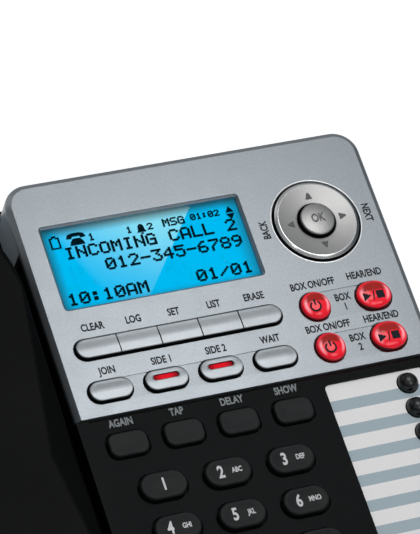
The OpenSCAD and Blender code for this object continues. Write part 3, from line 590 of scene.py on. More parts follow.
def flat_loop(ring):
    """The same points without their height."""
    return [tuple(p.xy) for p in ring]


print("an outline has", len(outline(2, 1, 0.2)), "points")

# %% Lofts and pieces
SHARP = math.radians(38)


def loft(bm, rings, close_first=True, close_last=True):
    """Joins rings of equal length by quads."""
    made = [[bm.verts.new(p) for p in ring] for ring in rings]
    count = len(made[0])
    faces = []
    for low, high in zip(made, made[1:]):
        for i in range(count):
            j = (i + 1) % count
            faces.append(bm.faces.new((low[i], low[j], high[j], high[i])))
    if close_first:
        faces.append(bm.faces.new(list(reversed(made[0]))))
    if close_last:
        faces.append(bm.faces.new(made[-1]))
    return faces


def loft_round(bm, rings):
    """A loft that ends where it began."""
    return loft(bm, rings + rings[:1], False, False)


def block(w, h, r, rows, steps=8):
    """A new mesh with a rounded outline. Each row is an inset and a height."""
    bm = bmesh.new()
    loft(bm, [lift(shrunk(w, h, r, inset, steps), z) for inset, z in rows])
    return bm


def place(bm, at):
    bmesh.ops.translate(bm, verts=bm.verts, vec=(at.x, at.y, 0))
    return bm


def piece(name, bm, paints, body, replaced=(), sharp=SHARP):
    """Turns a mesh drawn in the face frame into a finished piece that rides on a body."""
    bmesh.ops.remove_doubles(bm, verts=bm.verts, dist=0.0005)
    bmesh.ops.dissolve_degenerate(bm, edges=bm.edges, dist=0.0005)
    bmesh.ops.recalc_face_normals(bm, faces=bm.faces)
    mesh = bpy.data.meshes.new(name)
    bm.to_mesh(mesh)
    bm.free()
    mesh.transform(FACE)
    mesh.shade_smooth()
    mesh.set_sharp_from_angle(angle=sharp)
    for paint in paints if isinstance(paints, list) else [paints]:
        mesh.materials.append(paint)
    made = bpy.data.objects.new(name, mesh)
    scene.collection.objects.link(made)
    made.modifiers.new("even_normals", "WEIGHTED_NORMAL").keep_sharp = True
    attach(made, body)
    if replaced:
        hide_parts(*replaced)
    return made


print("loft helpers ready")

# %% [markdown]
# ## A plate with holes
# The silver panel and the memory card are plates with many holes, and the panel has shallow sunk lanes
# that tie keys into groups. A Boolean could cut them, but it leaves hard edges. Here the flat is
# triangulated once with all outlines as constraints, each triangle is kept, dropped or sunk, and every
# hole gets a rounded rim of its own.

# %% Holes and triangles
Hole = namedtuple("Hole", "x y w h r rim")
Lane = namedtuple("Lane", "x y w h depth")


def from_core(hole, p):
    """The nearest point of the outline's inner skeleton, and the distance to it."""
    half_w = max(hole.w / 2 - hole.r, 0)
    half_h = max(hole.h / 2 - hole.r, 0)
    x = hole.x + min(max(p[0] - hole.x, -half_w), half_w)
    y = hole.y + min(max(p[1] - hole.y, -half_h), half_h)
    core = Vector((x, y))
    return core, (Vector((p[0], p[1])) - core).length


def on_hole(hole, p, grow):
    """The point of the hole's outline, grown, straight out from p."""
    core, _ = from_core(hole, p)
    out = (Vector((p[0], p[1])) - core).normalized()
    return core + out * (hole.r + grow)


def inside(loop, p):
    """Whether p lies in a closed loop of points."""
    odd = False
    for a, b in zip(loop, loop[1:] + loop[:1]):
        if (a[1] > p[1]) != (b[1] > p[1]) and p[0] < (b[0] - a[0]) * (p[1] - a[1]) / (b[1] - a[1]) + a[0]:
            odd = not odd
    return odd


def triangulate(loops):
    points = []
    edges = []
    for loop in loops:
        first = len(points)
        points += [Vector((p[0], p[1])) for p in loop]
        edges += [(first + i, first + (i + 1) % len(loop)) for i in range(len(loop))]
    spots, _, triangles, _, _, _ = geometry.delaunay_2d_cdt(points, edges, [], 0, 1e-4)
    return spots, triangles


def centre(spots, tri):
    return sum((spots[i] for i in tri), Vector((0, 0))) / 3


def wound(spots, tri, upward):
    """The corners of a triangle in the order that makes it face up or down."""
    turn = (spots[tri[1]] - spots[tri[0]]).cross(spots[tri[2]] - spots[tri[0]])
    return tri if (turn > 0) == upward else tuple(reversed(tri))


def patch(bm, points):
    return bm.faces.new([bm.verts.new(p) for p in points])


print("hole helpers ready")

# %% Plate builder
ON_RIM = 2e-3


def lane_depth(lanes, p):
    depths = [n.depth for n in lanes if abs(p.x - n.x) < n.w / 2 and abs(p.y - n.y) < n.h / 2]
    return max(depths, default=0.0)


def plate_flat(bm, spots, triangles, border, holes, lanes, top):
    """The upper face and the small steps of the lanes. Returns the depth at every edge."""
    depth_of = {}
    for tri in triangles:
        mid = centre(spots, tri)
        if not inside(border, mid) or any(from_core(h, mid)[1] < h.r + h.rim - 1e-4 for h in holes):
            continue
        depth = lane_depth(lanes, mid)
        order = wound(spots, tri, True)
        face = patch(bm, [(*spots[i], top - depth) for i in order])
        face.material_index = 1 if depth else 0
        for i, j in zip(order, order[1:] + order[:1]):
            depth_of.setdefault(frozenset((i, j)), []).append((i, j, depth))
    for sides in depth_of.values():
        if len(sides) == 2 and sides[0][2] != sides[1][2]:
            i, j, _ = sides[0]
            a, b = top - sides[0][2], top - sides[1][2]
            patch(bm, [(*spots[j], a), (*spots[i], a), (*spots[i], b), (*spots[j], b)])
    return depth_of


def plate_rim(bm, spots, depth_of, hole, top, thick):
    """The rounded rim and the wall of one hole. Returns the wall's outline."""
    ring = [i for i, p in enumerate(spots) if abs(from_core(hole, p)[1] - hole.r - hole.rim) < ON_RIM]
    ring.sort(key=lambda i: math.atan2(spots[i].y - hole.y, spots[i].x - hole.x))
    for i, j in zip(ring, ring[1:] + ring[:1]):
        known = depth_of.get(frozenset((i, j)))
        depth = known[0][2] if known else 0.0
        drops = [(g, top - max(d, depth)) for g, d in rounded(hole.rim)] + [(0.0, top - thick)]
        for (g1, z1), (g2, z2) in zip(drops, drops[1:]):
            quad = ((i, g1, z1), (j, g1, z1), (j, g2, z2), (i, g2, z2))
            patch(bm, [(*on_hole(hole, spots[k], g), z) for k, g, z in quad])
    return [on_hole(hole, spots[i], 0) for i in ring]


def plate(bm, border, under, holes, lanes, top, thick, steps=8):
    """A plate between two flat outlines, with rimmed holes and sunk lanes."""
    loops = [border]
    loops += [moved(shrunk(h.w, h.h, h.r, -h.rim, steps), h.x, h.y) for h in holes]
    loops += [moved(outline(n.w, n.h, 0.05, 1), n.x, n.y) for n in lanes]
    spots, triangles = triangulate(loops)
    depth_of = plate_flat(bm, spots, triangles, border, holes, lanes, top)
    feet = [plate_rim(bm, spots, depth_of, hole, top, thick) for hole in holes]
    spots, triangles = triangulate([under] + feet)
    for tri in triangles:
        mid = centre(spots, tri)
        if inside(under, mid) and not any(inside(foot, mid) for foot in feet):
            patch(bm, [(*spots[i], top - thick) for i in wound(spots, tri, False)])


def weld(bm):
    """Joins the plate's parts, fills the slivers beside the lanes and drops what is flat."""
    bmesh.ops.remove_doubles(bm, verts=bm.verts, dist=0.002)
    bmesh.ops.dissolve_degenerate(bm, edges=bm.edges, dist=0.001)
    bmesh.ops.holes_fill(bm, edges=[e for e in bm.edges if e.is_boundary], sides=24)
    return sum(e.is_boundary for e in bm.edges)


print("plate builder ready")

# %% [markdown]
# ## The display panel
# The panel is one moulding, sprayed silver. It has one bevel at the rear and at the sides, a lip over the
# handset bay, and a short deep wall at its rear left corner. The keys' holes come from the keys of the
# frame, and the lanes tie the line keys and the answering keys together.

# %% Holes of the panel
FLANGE = 0.9
CLEAR = 0.6
RED_CLEAR = 0.3
KEY_RIM = 0.25
RED_RIM = 0.45
LANE_DN = 0.25
LENS_LAP = 2.0
NAV_GAP = 0.8
NAV_RIM = 0.35
func_keys = ["join_key", "line_1_key", "line_2_key", "hold_key"]
soft_keys = ["soft_key_%d" % i for i in range(1, 6)]
red_keys = ["answer_key_1", "answer_key_2", "play_key_1", "play_key_2"]


def key_size(node):
    """Middle, width and height of a key's top outline."""
    return footprint(node, FLANGE)


def key_top(node):
    return span(node)[1].z


def key_hole(node, rim=KEY_RIM, clear=CLEAR):
    at, w, h = key_size(node)
    return Hole(at.x, at.y, w + 2 * clear, h + 2 * clear, min(w, h) / 2 + clear, rim)


lens_mid, lens_w, lens_h = footprint("display_lens")
lens_low, lens_high = span("display_lens")
window = Hole(lens_mid.x, lens_mid.y, lens_w - 2 * LENS_LAP, lens_h - 2 * LENS_LAP, 1.2, 0.45)
soft_mid = middle("soft_key_3")
bar_w = span("soft_key_5")[1].x - span("soft_key_1")[0].x - 2 * FLANGE
bar_h = key_size("soft_key_1")[2]
soft_slot = Hole(soft_mid.x, soft_mid.y, bar_w + 2 * CLEAR, bar_h + 2 * CLEAR, bar_h / 2 + CLEAR, KEY_RIM)
nav_r = footprint("nav_ring")[1] / 2 + NAV_GAP
dial_hole = Hole(dial.x, dial.y, 2 * nav_r, 2 * nav_r, nav_r, NAV_RIM)
panel_holes = [window, soft_slot] + [key_hole(n) for n in func_keys]
panel_holes += [key_hole(n, RED_RIM, RED_CLEAR) for n in red_keys] + [dial_hole]
lanes = []
lane_ends = [("join_key", "hold_key", 1.0), ("answer_key_1", "play_key_1", -0.2),
             ("answer_key_2", "play_key_2", -0.2)]
for left, right, taller in lane_ends:
    a, _, h = key_size(left)
    b = middle(right)
    lanes.append(Lane((a.x + b.x) / 2, a.y, b.x - a.x, h + taller, LANE_DN))
print("panel:", len(panel_holes), "holes,", len(lanes), "lanes")

# %% Edge of the panel
WALL = 2.4
PLATE_T = 2.5
REAR_R = 8.4
LIP_T = 3.2
WING_LEN = 24.0
SKIRT = 17.0
STEP = 0.002
STEP_IN = 0.1
FRONT_BAND = 0.6
IN_LINE = 0.01


def panel_ring(left, right, front, z, steps=10):
    """The panel's outline with one inset at the left, one at the right and rear and one at the front."""
    ring = []
    for turn, x, inset in ((0, panel_high.x - REAR_R, right), (90, panel_low.x + REAR_R, left)):
        for i in range(steps + 1):
            angle = math.radians(turn + 90 * i / steps)
            across = x + (REAR_R - inset) * math.cos(angle)
            ring.append(Vector((across, (REAR_R - right) * math.sin(angle) - REAR_R, z)))
    ring.append(Vector((panel_low.x + left, panel_low.y + front, z)))
    ring.append(Vector((panel_high.x - right, panel_low.y + front, z)))
    return ring


def skirt_depth(p):
    """How far down the panel's wall reaches at a point of its edge."""
    if p.x < panel_low.x + WALL + STEP_IN and p.y < -WING_LEN:
        return LIP_T
    if p.x < panel_high.x - WALL - STEP_IN and p.y < panel_low.y + FRONT_BAND:
        return PLATE_T
    return SKIRT


def stepped(ring):
    """Adds double points where the wall's depth jumps: on the left edge and near the ends of the front."""
    made = []
    for p, q in zip(ring, ring[1:] + ring[:1]):
        made.append(p)
        if abs(p.x - q.x) < IN_LINE and p.x < 0 and p.y > -WING_LEN > q.y:
            made += [Vector((p.x, y, p.z)) for y in (STEP - WING_LEN, -STEP - WING_LEN)]
        if abs(p.y - q.y) < IN_LINE and p.y < panel_low.y + FRONT_BAND:
            left = max(p.x, panel_low.x + WALL) + STEP_IN
            right = min(q.x, panel_high.x - WALL) - STEP_IN
            made += [Vector((x, p.y, p.z)) for x in (left - STEP, left + STEP, right - STEP, right + STEP)]
    return made


# Insets at the left, at the right and rear, and at the front, and the drop of each ring down the bevel.
EDGE_ROWS = [(1.85, 2.05, 0.30, 0.0), (1.78, 1.96, 0.20, 0.015), (1.70, 1.86, 0.12, 0.06),
             (1.62, 1.74, 0.08, 0.13), (0.80, 0.45, 0.04, 0.95), (0.58, 0.20, 0.0, 1.17),
             (0.30, 0.06, 0.0, 1.45), (0.10, 0.0, 0.0, 1.70), (0.0, 0.0, 0.0, 2.0)]
print("panel edge:", len(EDGE_ROWS), "rows of", len(stepped(panel_ring(0, 0, 0, 0))), "points")

# %% Display panel
def display_panel():
    bm = bmesh.new()
    rings = [stepped(panel_ring(left, right, front, -drop)) for left, right, front, drop in EDGE_ROWS]
    deep = [Vector((p.x, p.y, -skirt_depth(p))) for p in rings[-1]]
    base = stepped(panel_ring(WALL, WALL, 0.3, 0))
    inner = [Vector((p.x, p.y, q.z)) for p, q in zip(base, deep)]
    under = lift(base, -PLATE_T)
    down = rings + [deep, inner, under]
    # The left wall below the lip takes the lighter copy of the silver: painted light.
    for face in loft(bm, list(reversed(down)), False, False):
        at = face.calc_center_median()
        if at.z < -LIP_T and at.x < panel_low.x + STEP_IN:
            face.material_index = 2
    plate(bm, flat_loop(rings[0]), flat_loop(under), panel_holes, lanes, 0.0, PLATE_T, 10)
    print("display panel:", weld(bm), "open edges,", len(bm.faces), "faces")
    paints = [panel_silver, lane_silver, wing_silver_painted_light]
    piece("display_panel_shell", bm, paints, "base", ["display_panel"])


display_panel()

# %% [markdown]
# On the real panel a thin bright bead runs round the dial's hole, and a bevelled frame leads the eye down
# to the display. Both are one closed profile carried round a hole: a half round for the bead, a slope for
# the frame. They could be cut into the plate itself, but as pieces of their own they take a finish of
# their own.

# %% Bead and frame
BEAD_W = 0.55
BEAD_UP = 0.14
BEAD_DN = -0.7
BEAD_LAP = 0.02
FRAME_OUT = -0.05
FRAME_UP = -0.40
FRAME_IN = 0.55
FRAME_DN = -1.05
FRAME_ROUND = 0.05


def round_hole(name, hole, rows, finish):
    """Carries a profile round a hole of the panel. Each row is an inset into the hole and a height."""
    bm = bmesh.new()
    loft_round(bm, [lift(moved(shrunk(hole.w, hole.h, hole.r, i, 24), hole.x, hole.y), z) for i, z in rows])
    piece(name, bm, finish, "base")


bead_rows = [(BEAD_LAP, BEAD_DN), (-BEAD_W, BEAD_DN)]
for i in range(9):
    turn = math.radians(180 * i / 8)
    bead_rows.append((-BEAD_W / 2 * (1 + math.cos(turn)), BEAD_UP * math.sin(turn) - 0.01))
bead_rows.append((BEAD_LAP, -0.02))
round_hole("dial_bead", dial_hole, bead_rows, bead_bright)
frame_foot = lens_high.z + 0.05
frame_rows = [(FRAME_OUT, frame_foot), (FRAME_OUT, FRAME_UP),
              (FRAME_IN - FRAME_ROUND, FRAME_DN + FRAME_ROUND),
              (FRAME_IN, FRAME_DN - FRAME_ROUND), (FRAME_IN, frame_foot)]
round_hole("window_bead", window, frame_rows, panel_silver)
print("bead round the dial, frame of the window down to", round(lens_high.z, 2))

# %% [markdown]
# ## Silver keys
# The soft keys and the function keys are pillow-shaped: flat towards the user and rolled off at the rear,
# so that the rear third looks darker. The loft has extra rings on its top, and the roll is a smooth drop
# of those points.

# %% Key shapes
KEY_Z1 = -(PLATE_T + 0.3)
KEY_Z0 = KEY_Z1 - 0.8
ROLL_FROM = -0.3
TOP_RINGS = 8
LAST_RING = 0.25


def smooth(t):
    t = min(max(t, 0.0), 1.0)
    return t * t * (3 - 2 * t)


def key_foot(flange):
    """Rows of a key's flange and of the step up to its side."""
    return [(-flange, KEY_Z0), (-flange, KEY_Z1), (0, KEY_Z1)]


def key_side(up, edge, flange):
    return key_foot(flange) + [(i, up - d) for i, d in reversed(rounded(edge))]


def black_below(faces, z):
    """Gives the faces under a height the second material, which is black on every piece here."""
    for face in faces:
        face.material_index = 0 if face.calc_center_median().z > z else 1


def form_top(bm, w, h, up, edge, roll, dish):
    """Rolls off the rear of a key's top and dishes its middle, less and less down the rounded edge."""
    start = up - edge - 0.01
    for v in bm.verts:
        if v.co.z > start:
            fade = min(1.0, (v.co.z - start) / (0.6 * edge))
            far = smooth((v.co.y / (h / 2) - ROLL_FROM) / (1 - ROLL_FROM))
            near = 1 - min(1.0, math.hypot(v.co.x / (w / 2), v.co.y / (h / 2)))
            v.co.z -= (roll * far + dish * smooth(near * 1.6)) * fade


def key_mesh(w, h, r, up, edge, roll=0.0, dish=0.0, steps=8, flange=FLANGE):
    """A key round the origin: flange, straight side, rounded edge and a formed top."""
    bm = bmesh.new()
    reach = min(w, h) / 2 - LAST_RING - edge
    rows = key_side(up, edge, flange)
    rows += [(edge + reach * k / TOP_RINGS, up) for k in range(1, TOP_RINGS + 1)]
    black_below(loft(bm, [lift(shrunk(w, h, r, i, steps), z) for i, z in rows]), up - edge)
    form_top(bm, w, h, up, edge, roll, dish)
    return bm


def key_cap(node, bm, at, paints):
    """Puts a key's mesh in its place, instead of the frame's key."""
    piece(node + "_cap", place(bm, at), paints, node, [node])


print("key shapes ready, feet at", round(KEY_Z0, 2), "mm")

# %% Soft keys
SOFT_EDGE = 0.35
KEY_ROLL = 0.42
key_paint = [key_silver, black_side]


def keep_between(bm, x0, x1):
    """Cuts a bar to the part between two planes and closes the cuts."""
    for x, outward in ((x0, -1), (x1, 1)):
        parts = bm.verts[:] + bm.edges[:] + bm.faces[:]
        cut = bmesh.ops.bisect_plane(bm, geom=parts, plane_co=(x, 0, 0), plane_no=(outward, 0, 0),
                                     clear_outer=True)
        edges = [e for e in cut["geom_cut"] if isinstance(e, bmesh.types.BMEdge)]
        for face in bmesh.ops.holes_fill(bm, edges=edges, sides=0)["faces"]:
            face.material_index = 1


for node in soft_keys:
    low, high = span(node)
    bm = key_mesh(bar_w, bar_h, bar_h / 2, high.z, SOFT_EDGE, roll=KEY_ROLL, flange=0.0)
    keep_between(bm, low.x - soft_mid.x, high.x - soft_mid.x)
    key_cap(node, bm, soft_mid, key_paint)
print("soft keys:", len(soft_keys), "in a bar of", round(bar_w, 2), "by", round(bar_h, 2), "mm")

# %% [markdown]
# ## Function keys and lamps
# Two of the function keys have a slot with a red light behind it. Such a key is moulded in one piece with
# the slot, so its top is made by the plate builder, which gives the slot a rounded rim. The lamp below it
# glows most in its middle, and an emission that follows the place along the slot shows that.

# %% Lamp material
LAMP_GLOW = 0.68
LAMP_RED = (1.0, 0.004, 0.018, 1)
lamps = [n.replace("key", "lamp") for n in func_keys if n.replace("key", "lamp") in nodes]


def lamp_finish():
    """Red light behind a slot: bright in the middle and dark at the ends."""
    made, tree, shader = blank("lamp_red")
    u, _ = face_place(tree)
    glows = []
    for lamp in lamps:
        at, w, _ = footprint(lamp)
        spread = calculate(tree, "ABSOLUTE", minus(tree, u, at.x), 0)
        glows.append(remap(tree, spread, 0.35 * w / 2, w / 2, 1.0, 0.1))
    red = tree.nodes.new("ShaderNodeRGB").outputs[0]
    red.default_value = LAMP_RED
    wire(tree, (tinted(tree, red, calculate(tree, "MAXIMUM", *glows)), shader.inputs["Emission Color"]))
    settle(shader, Base_Color=(0.02, 0.0, 0.001, 1), Roughness=0.3, Specular_IOR_Level=0.03,
           Emission_Strength=LAMP_GLOW)
    return made


lamp_red = lamp_finish()
print("lamps:", lamps)

# %% Function keys
KEY_CROWN = 0.12
SLOT_RIM = 0.35
LAMP_DN = 0.75
LONG_EDGE = 1.2


def lamp_key(node, lamp):
    """A pill key whose top is a plate with one slot."""
    at, w, h = key_size(node)
    lamp_at, lamp_w, lamp_h = footprint(lamp)
    up = key_top(node)
    slot = Hole(0, lamp_at.y - at.y, lamp_w, lamp_h, lamp_h / 2, SLOT_RIM)
    bm = bmesh.new()
    rings = [lift(shrunk(w, h, h / 2, i, 10), z) for i, z in key_side(up, SOFT_EDGE, FLANGE)]
    loft(bm, rings, False, False)
    plate(bm, flat_loop(rings[-1]), flat_loop(rings[0]), [slot], [], up, up - KEY_Z0)
    bmesh.ops.remove_doubles(bm, verts=bm.verts, dist=0.001)
    long_edges = [e for e in bm.edges if e.calc_length() > LONG_EDGE]
    bmesh.ops.subdivide_edges(bm, edges=long_edges, cuts=2, use_grid_fill=False)
    bmesh.ops.triangulate(bm, faces=bm.faces)
    black_below(bm.faces, up - SOFT_EDGE)
    form_top(bm, w, h, up, SOFT_EDGE, KEY_ROLL, 0.0)
    return bm


def lamp_window(lamp, node):
    at, w, h = footprint(lamp)
    low, high = span(lamp)
    top = high.z - LAMP_DN
    rows = [(0.02, low.z), (0.02, top - 0.15), (0.06, top - 0.05), (0.2, top)]
    piece(lamp + "_window", place(block(w, h, h / 2, rows), at), lamp_red, node, [lamp])


for node in func_keys:
    lamp = node.replace("key", "lamp")
    at, w, h = key_size(node)
    if lamp in lamps:
        key_cap(node, lamp_key(node, lamp), at, key_paint)
        lamp_window(lamp, node)
    else:
        bm = key_mesh(w, h, h / 2, key_top(node), SOFT_EDGE, roll=KEY_ROLL, dish=-KEY_CROWN)
        key_cap(node, bm, at, key_paint)
print("function keys:", len(func_keys), "with", len(lamps), "lamps")

# %% [markdown]
# ## Red keys
# The answering keys are low domes of dyed red plastic with a round shoulder. The dome is a loft whose
# rows follow a curve between a circle and a square, which keeps its top broad. Each corner of the mesh
# also stores its place on the key in a UV layer, which places the painted light and shade in the red.

# %% Red keys
RED_SIDE = 0.3
FULLNESS = 2.4


def dome_mesh(w, h, side, up, flange, fullness, steps):
    """A domed key over a round or oval outline. More fullness flattens its top."""
    half = min(w, h) / 2
    rows = key_foot(flange)
    for k in range(13):
        turn = math.radians(88 * k / 12)
        inset = half * (1 - math.cos(turn) ** (2 / fullness))
        rows.append((inset, side + (up - side) * math.sin(turn) ** (2 / fullness)))
    bm = block(w, h, half, rows, steps)
    layer = bm.loops.layers.uv.new("over_key")
    for loop in (loop for face in bm.faces for loop in face.loops):
        loop[layer].uv = (loop.vert.co.x / w + 0.5, loop.vert.co.y / h + 0.5)
    return bm


def dome_height(node, x, y):
    """Height of a red key's skin over a point of the face."""
    at, w, h = key_size(node)
    beside = max(abs(x - at.x) - (w - h) / 2, 0)
    share = min(math.hypot(beside, y - at.y) / (min(w, h) / 2), 1)
    return RED_SIDE + (key_top(node) - RED_SIDE) * (1 - share ** FULLNESS) ** (1 / FULLNESS)


for node in red_keys:
    at, w, h = key_size(node)
    bm = dome_mesh(w, h, RED_SIDE, key_top(node), FLANGE, FULLNESS, 16)
    piece(node + "_dome", place(bm, at), key_red, node, [node])
print("red keys:", len(red_keys))

# %% [markdown]
# ## Navigation dial
# The ring is plated and finely turned. Its top slopes down towards the middle, so the side away from the
# light is the bright one, and its outer edge has a narrow polished bevel. The centre key is a low dome.
# The side wall under the ring's bevel and the side under the key's dome are black: painted shade.

# %% Ring of the dial
def turned(profile, steps):
    """Rings of a turned piece from a list of (radius, height)."""
    spokes = [2 * math.pi * i / steps for i in range(steps)]
    return [[Vector((r * math.cos(a), r * math.sin(a), z)) for a in spokes] for r, z in profile]


ring_low, ring_high = span("nav_ring")
ring_r = footprint("nav_ring")[1] / 2
ring_top = ring_high.z
enter_low, enter_high = span("enter_key")
enter_r = footprint("enter_key")[1] / 2
HOLE_R = enter_r + 0.7
POLISH_W = 1.1
POLISH_DN = 0.7
SATIN_DN = 0.98
# Insets from the ring's outer edge and from its hole, each with the drop from the ring's top.
OUTER_ROWS = [(0.0, 0.75), (0.08, 0.60), (0.85, 0.09), (0.98, 0.02), (1.15, 0.0), (1.4, 0.03),
              (3.5, 0.36), (6.0, 0.62)]
INNER_ROWS = [(0.45, 0.80), (0.2, 0.84), (0.05, 0.95), (0.0, 1.15)]
ring_profile = [(HOLE_R, ring_low.z), (ring_r - 0.6, ring_low.z), (ring_r, ring_low.z + 0.6)]
ring_profile += [(ring_r - inset, ring_top - drop) for inset, drop in OUTER_ROWS]
ring_profile += [(HOLE_R + out, ring_top - drop) for out, drop in INNER_ROWS]
bm = bmesh.new()
# Below SATIN_DN the ring's side wall gets the black: painted shade for the dark it mirrors.
for face in loft_round(bm, turned(ring_profile, 96)):
    at = face.calc_center_median()
    polished = at.xy.length > ring_r - POLISH_W and at.z > ring_top - POLISH_DN
    face.material_index = 2 if polished else 0 if at.z > ring_top - SATIN_DN else 1
ring_paint = [ring_satin, black_side, ring_polish]
crease = math.radians(30)
piece("nav_ring_plated", place(bm, dial), ring_paint, "nav_ring", ["nav_ring"], crease)
print("dial ring radius", round(ring_r, 2), "mm")

# %% Centre key
EDGE_UP = enter_high.z - 0.95
SHOULDER = 0.6
dome_rows = [(enter_r - 0.2, enter_low.z), (enter_r, enter_low.z + 0.2), (enter_r, EDGE_UP)]
for i in range(1, 9):
    turn = math.radians(80 * i / 8)
    dome_rows.append((enter_r - SHOULDER + SHOULDER * math.cos(turn), EDGE_UP + 0.55 * math.sin(turn)))
dome_rows += [(enter_r - 1.4, enter_high.z - 0.25), (enter_r - 2.8, enter_high.z - 0.08), (1.2, enter_high.z)]
bm = bmesh.new()
# The side below the dome's edge gets the black: painted shade.
black_below(loft(bm, turned(dome_rows, 64)), EDGE_UP)
piece("enter_key_dome", place(bm, dial), [ring_satin, black_side], "enter_key", ["enter_key"])
print("centre key radius", round(enter_r, 2), "mm")

# %% [markdown]
# ## Lens and lit display
# Behind a clear lens lies a blue-lit display with dark dots. Its emission also carries painted light by
# the place on the display: a paler slanting band is a painted sheen that stands for a reflection on the
# lens, and painted shade darkens it towards the window's edges. The display and its lens are plain blocks
# with softened edges.

# %% Backlight
# A painted sheen, a paler slanting band that stands for a reflection on the lens, and painted shade at the
# window's edges are laid into the backlight's emission.
PAINTED_SHEEN_SLOPE = 0.80
PAINTED_SHEEN_END = window.x + 6.5
PAINTED_SHEEN_LEAN = 0.45
PAINTED_SHEEN_START = window.x - 21.0
PAINTED_SHEEN_FULL = window.x + 7.0
BACK_GLOW = 0.92
BLUE = (0.0, 0.54, 0.98, 1)
PAINTED_SHEEN_BLUE = (0.27, 0.82, 1.02, 1)
PAINTED_SHADE_BLUE = (0.012, 0.100, 0.128, 1)
PAINTED_SHADE_SHEEN = (0.11, 0.18, 0.19, 1)


# The blue backlight, with a painted sheen and painted shade at the edges in its emission.
def backlight_with_painted_light():
    made, tree, shader = blank("display_blue")
    u, v = face_place(tree)
    left = minus(tree, u, window.x - window.w / 2)
    right = minus(tree, window.x + window.w / 2, u)
    front = minus(tree, v, window.y - window.h / 2)
    rear = minus(tree, window.y + window.h / 2, v)
    # Painted shade towards the window's edges.
    edge = times(tree, remap(tree, left, 0.6, 4.8, 0.0, 1.0), remap(tree, right, -1.0, 5.0, 0.25, 1.0),
                 remap(tree, rear, 0.0, 3.2, 0.05, 1.0), remap(tree, front, -0.4, 3.5, 0.20, 1.0))
    # The painted sheen: a slanting band, fading towards the rear.
    rise = minus(tree, v, window.y)
    ends = minus(tree, u, times(tree, rise, PAINTED_SHEEN_SLOPE))
    starts = plus(tree, u, times(tree, rise, PAINTED_SHEEN_LEAN))
    painted_sheen = times(tree, remap(tree, starts, PAINTED_SHEEN_START, PAINTED_SHEEN_FULL, 0.22, 1.0),
                  remap(tree, starts, PAINTED_SHEEN_START - 3.0, PAINTED_SHEEN_START, 0.0, 1.0),
                  remap(tree, ends, PAINTED_SHEEN_END, PAINTED_SHEEN_END + 0.4, 1.0, 0.0),
                  remap(tree, rear, 4.0, 24.0, 1.0, 0.33))
    # The backlight with its painted sheen, and the colours of the painted shade.
    backlit_and_sheen = blended(tree, painted_sheen, BLUE, PAINTED_SHEEN_BLUE)
    painted_shade = blended(tree, painted_sheen, PAINTED_SHADE_BLUE, PAINTED_SHADE_SHEEN)
    wire(tree, (blended(tree, edge, painted_shade, backlit_and_sheen), shader.inputs["Emission Color"]))
    settle(shader, Base_Color=(0.0, 0.0, 0.0, 1), Roughness=0.6, Specular_IOR_Level=0.0,
           Emission_Strength=BACK_GLOW)
    return made


display_blue = backlight_with_painted_light()
print("backlight:", len(display_blue.node_tree.nodes), "nodes")

# %% Display and lens
GLASS_GAP = 0.06
lcd_mid, lcd_w, lcd_h = footprint("lcd_module")
lcd_low, lcd_high = span("lcd_module")
glass = lcd_high.z - GLASS_GAP
lcd_rows = [(0, lcd_low.z), (0, lcd_high.z - 1.2), (0.4, lcd_high.z - 1.0), (0.4, glass - 0.1), (0.5, glass)]
bm = place(block(lcd_w, lcd_h, 1.0, lcd_rows, 4), lcd_mid)
piece("lcd_panel", bm, display_blue, "base", ["lcd_module"])
lens_rows = [(0.2, lens_low.z), (0, lens_low.z + 0.2), (0, lens_high.z - 0.2), (0.2, lens_high.z)]
bm = place(block(lens_w, lens_h, 2.0, lens_rows, 6), lens_mid)
piece("lens_pane", bm, lens_clear, "base", ["display_lens"])
print("display window", round(window.w, 1), "by", round(window.h, 1), "mm")

# %% [markdown]
# ## Dot characters
# A dot display draws each letter on a grid of five by seven dots. The letters are written out below as
# rows of ones and zeros, and every run of ones becomes one small dark tile. The liquid lies a little
# above its mirror, so each dot throws a faint shadow; here it is a painted shadow, a copy of the dots,
# shifted and half clear.

# %% Letter shapes
GLYPHS = {
    "0": "01110 10001 10011 10101 11001 10001 01110", "1": "00100 01100 00100 00100 00100 00100 01110",
    "2": "01110 10001 00001 00010 00100 01000 11111", "3": "11111 00010 00100 00010 00001 10001 01110",
    "4": "00010 00110 01010 10010 11111 00010 00010", "5": "11111 10000 11110 00001 00001 10001 01110",
    "6": "00110 01000 10000 11110 10001 10001 01110", "7": "11111 00001 00010 00100 01000 01000 01000",
    "8": "01110 10001 10001 01110 10001 10001 01110", "9": "01110 10001 10001 01111 00001 00010 01100",
    "A": "01110 10001 10001 10001 11111 10001 10001", "C": "01110 10001 10000 10000 10000 10001 01110",
    "G": "01110 10001 10000 10111 10001 10001 01111", "I": "01110 00100 00100 00100 00100 00100 01110",
    "L": "10000 10000 10000 10000 10000 10000 11111", "M": "10001 11011 10101 10101 10001 10001 10001",
    "N": "10001 10001 11001 10101 10011 10001 10001", "O": "01110 10001 10001 10001 10001 10001 01110",
    "S": "01111 10000 10000 01110 00001 00001 11110", "-": "00000 00000 00000 11111 00000 00000 00000",
    "/": "00000 00001 00010 00100 01000 10000 00000", ":": "00000 01100 01100 00000 01100 01100 00000",
}
DOT_W = 0.68
DOT_H = 0.61
DOT_FAT = 0.17
pixel_z0 = glass + 0.005
pixel_z1 = lcd_high.z - 0.015


def shape(bm, points, z0, z1):
    """A flat tile of any outline, counter-clockwise."""
    loft(bm, [lift(points, z0), lift(points, z1)])


def tile(bm, x0, y0, x1, y1, z0, z1):
    shape(bm, [(x0, y0), (x1, y0), (x1, y1), (x0, y1)], z0, z1)


def strip_rings(inner, outer, z0, z1):
    """Square cross-sections along two rows of points."""
    return [lift((a, b), z0) + lift((b, a), z1) for a, b in zip(inner, outer)]


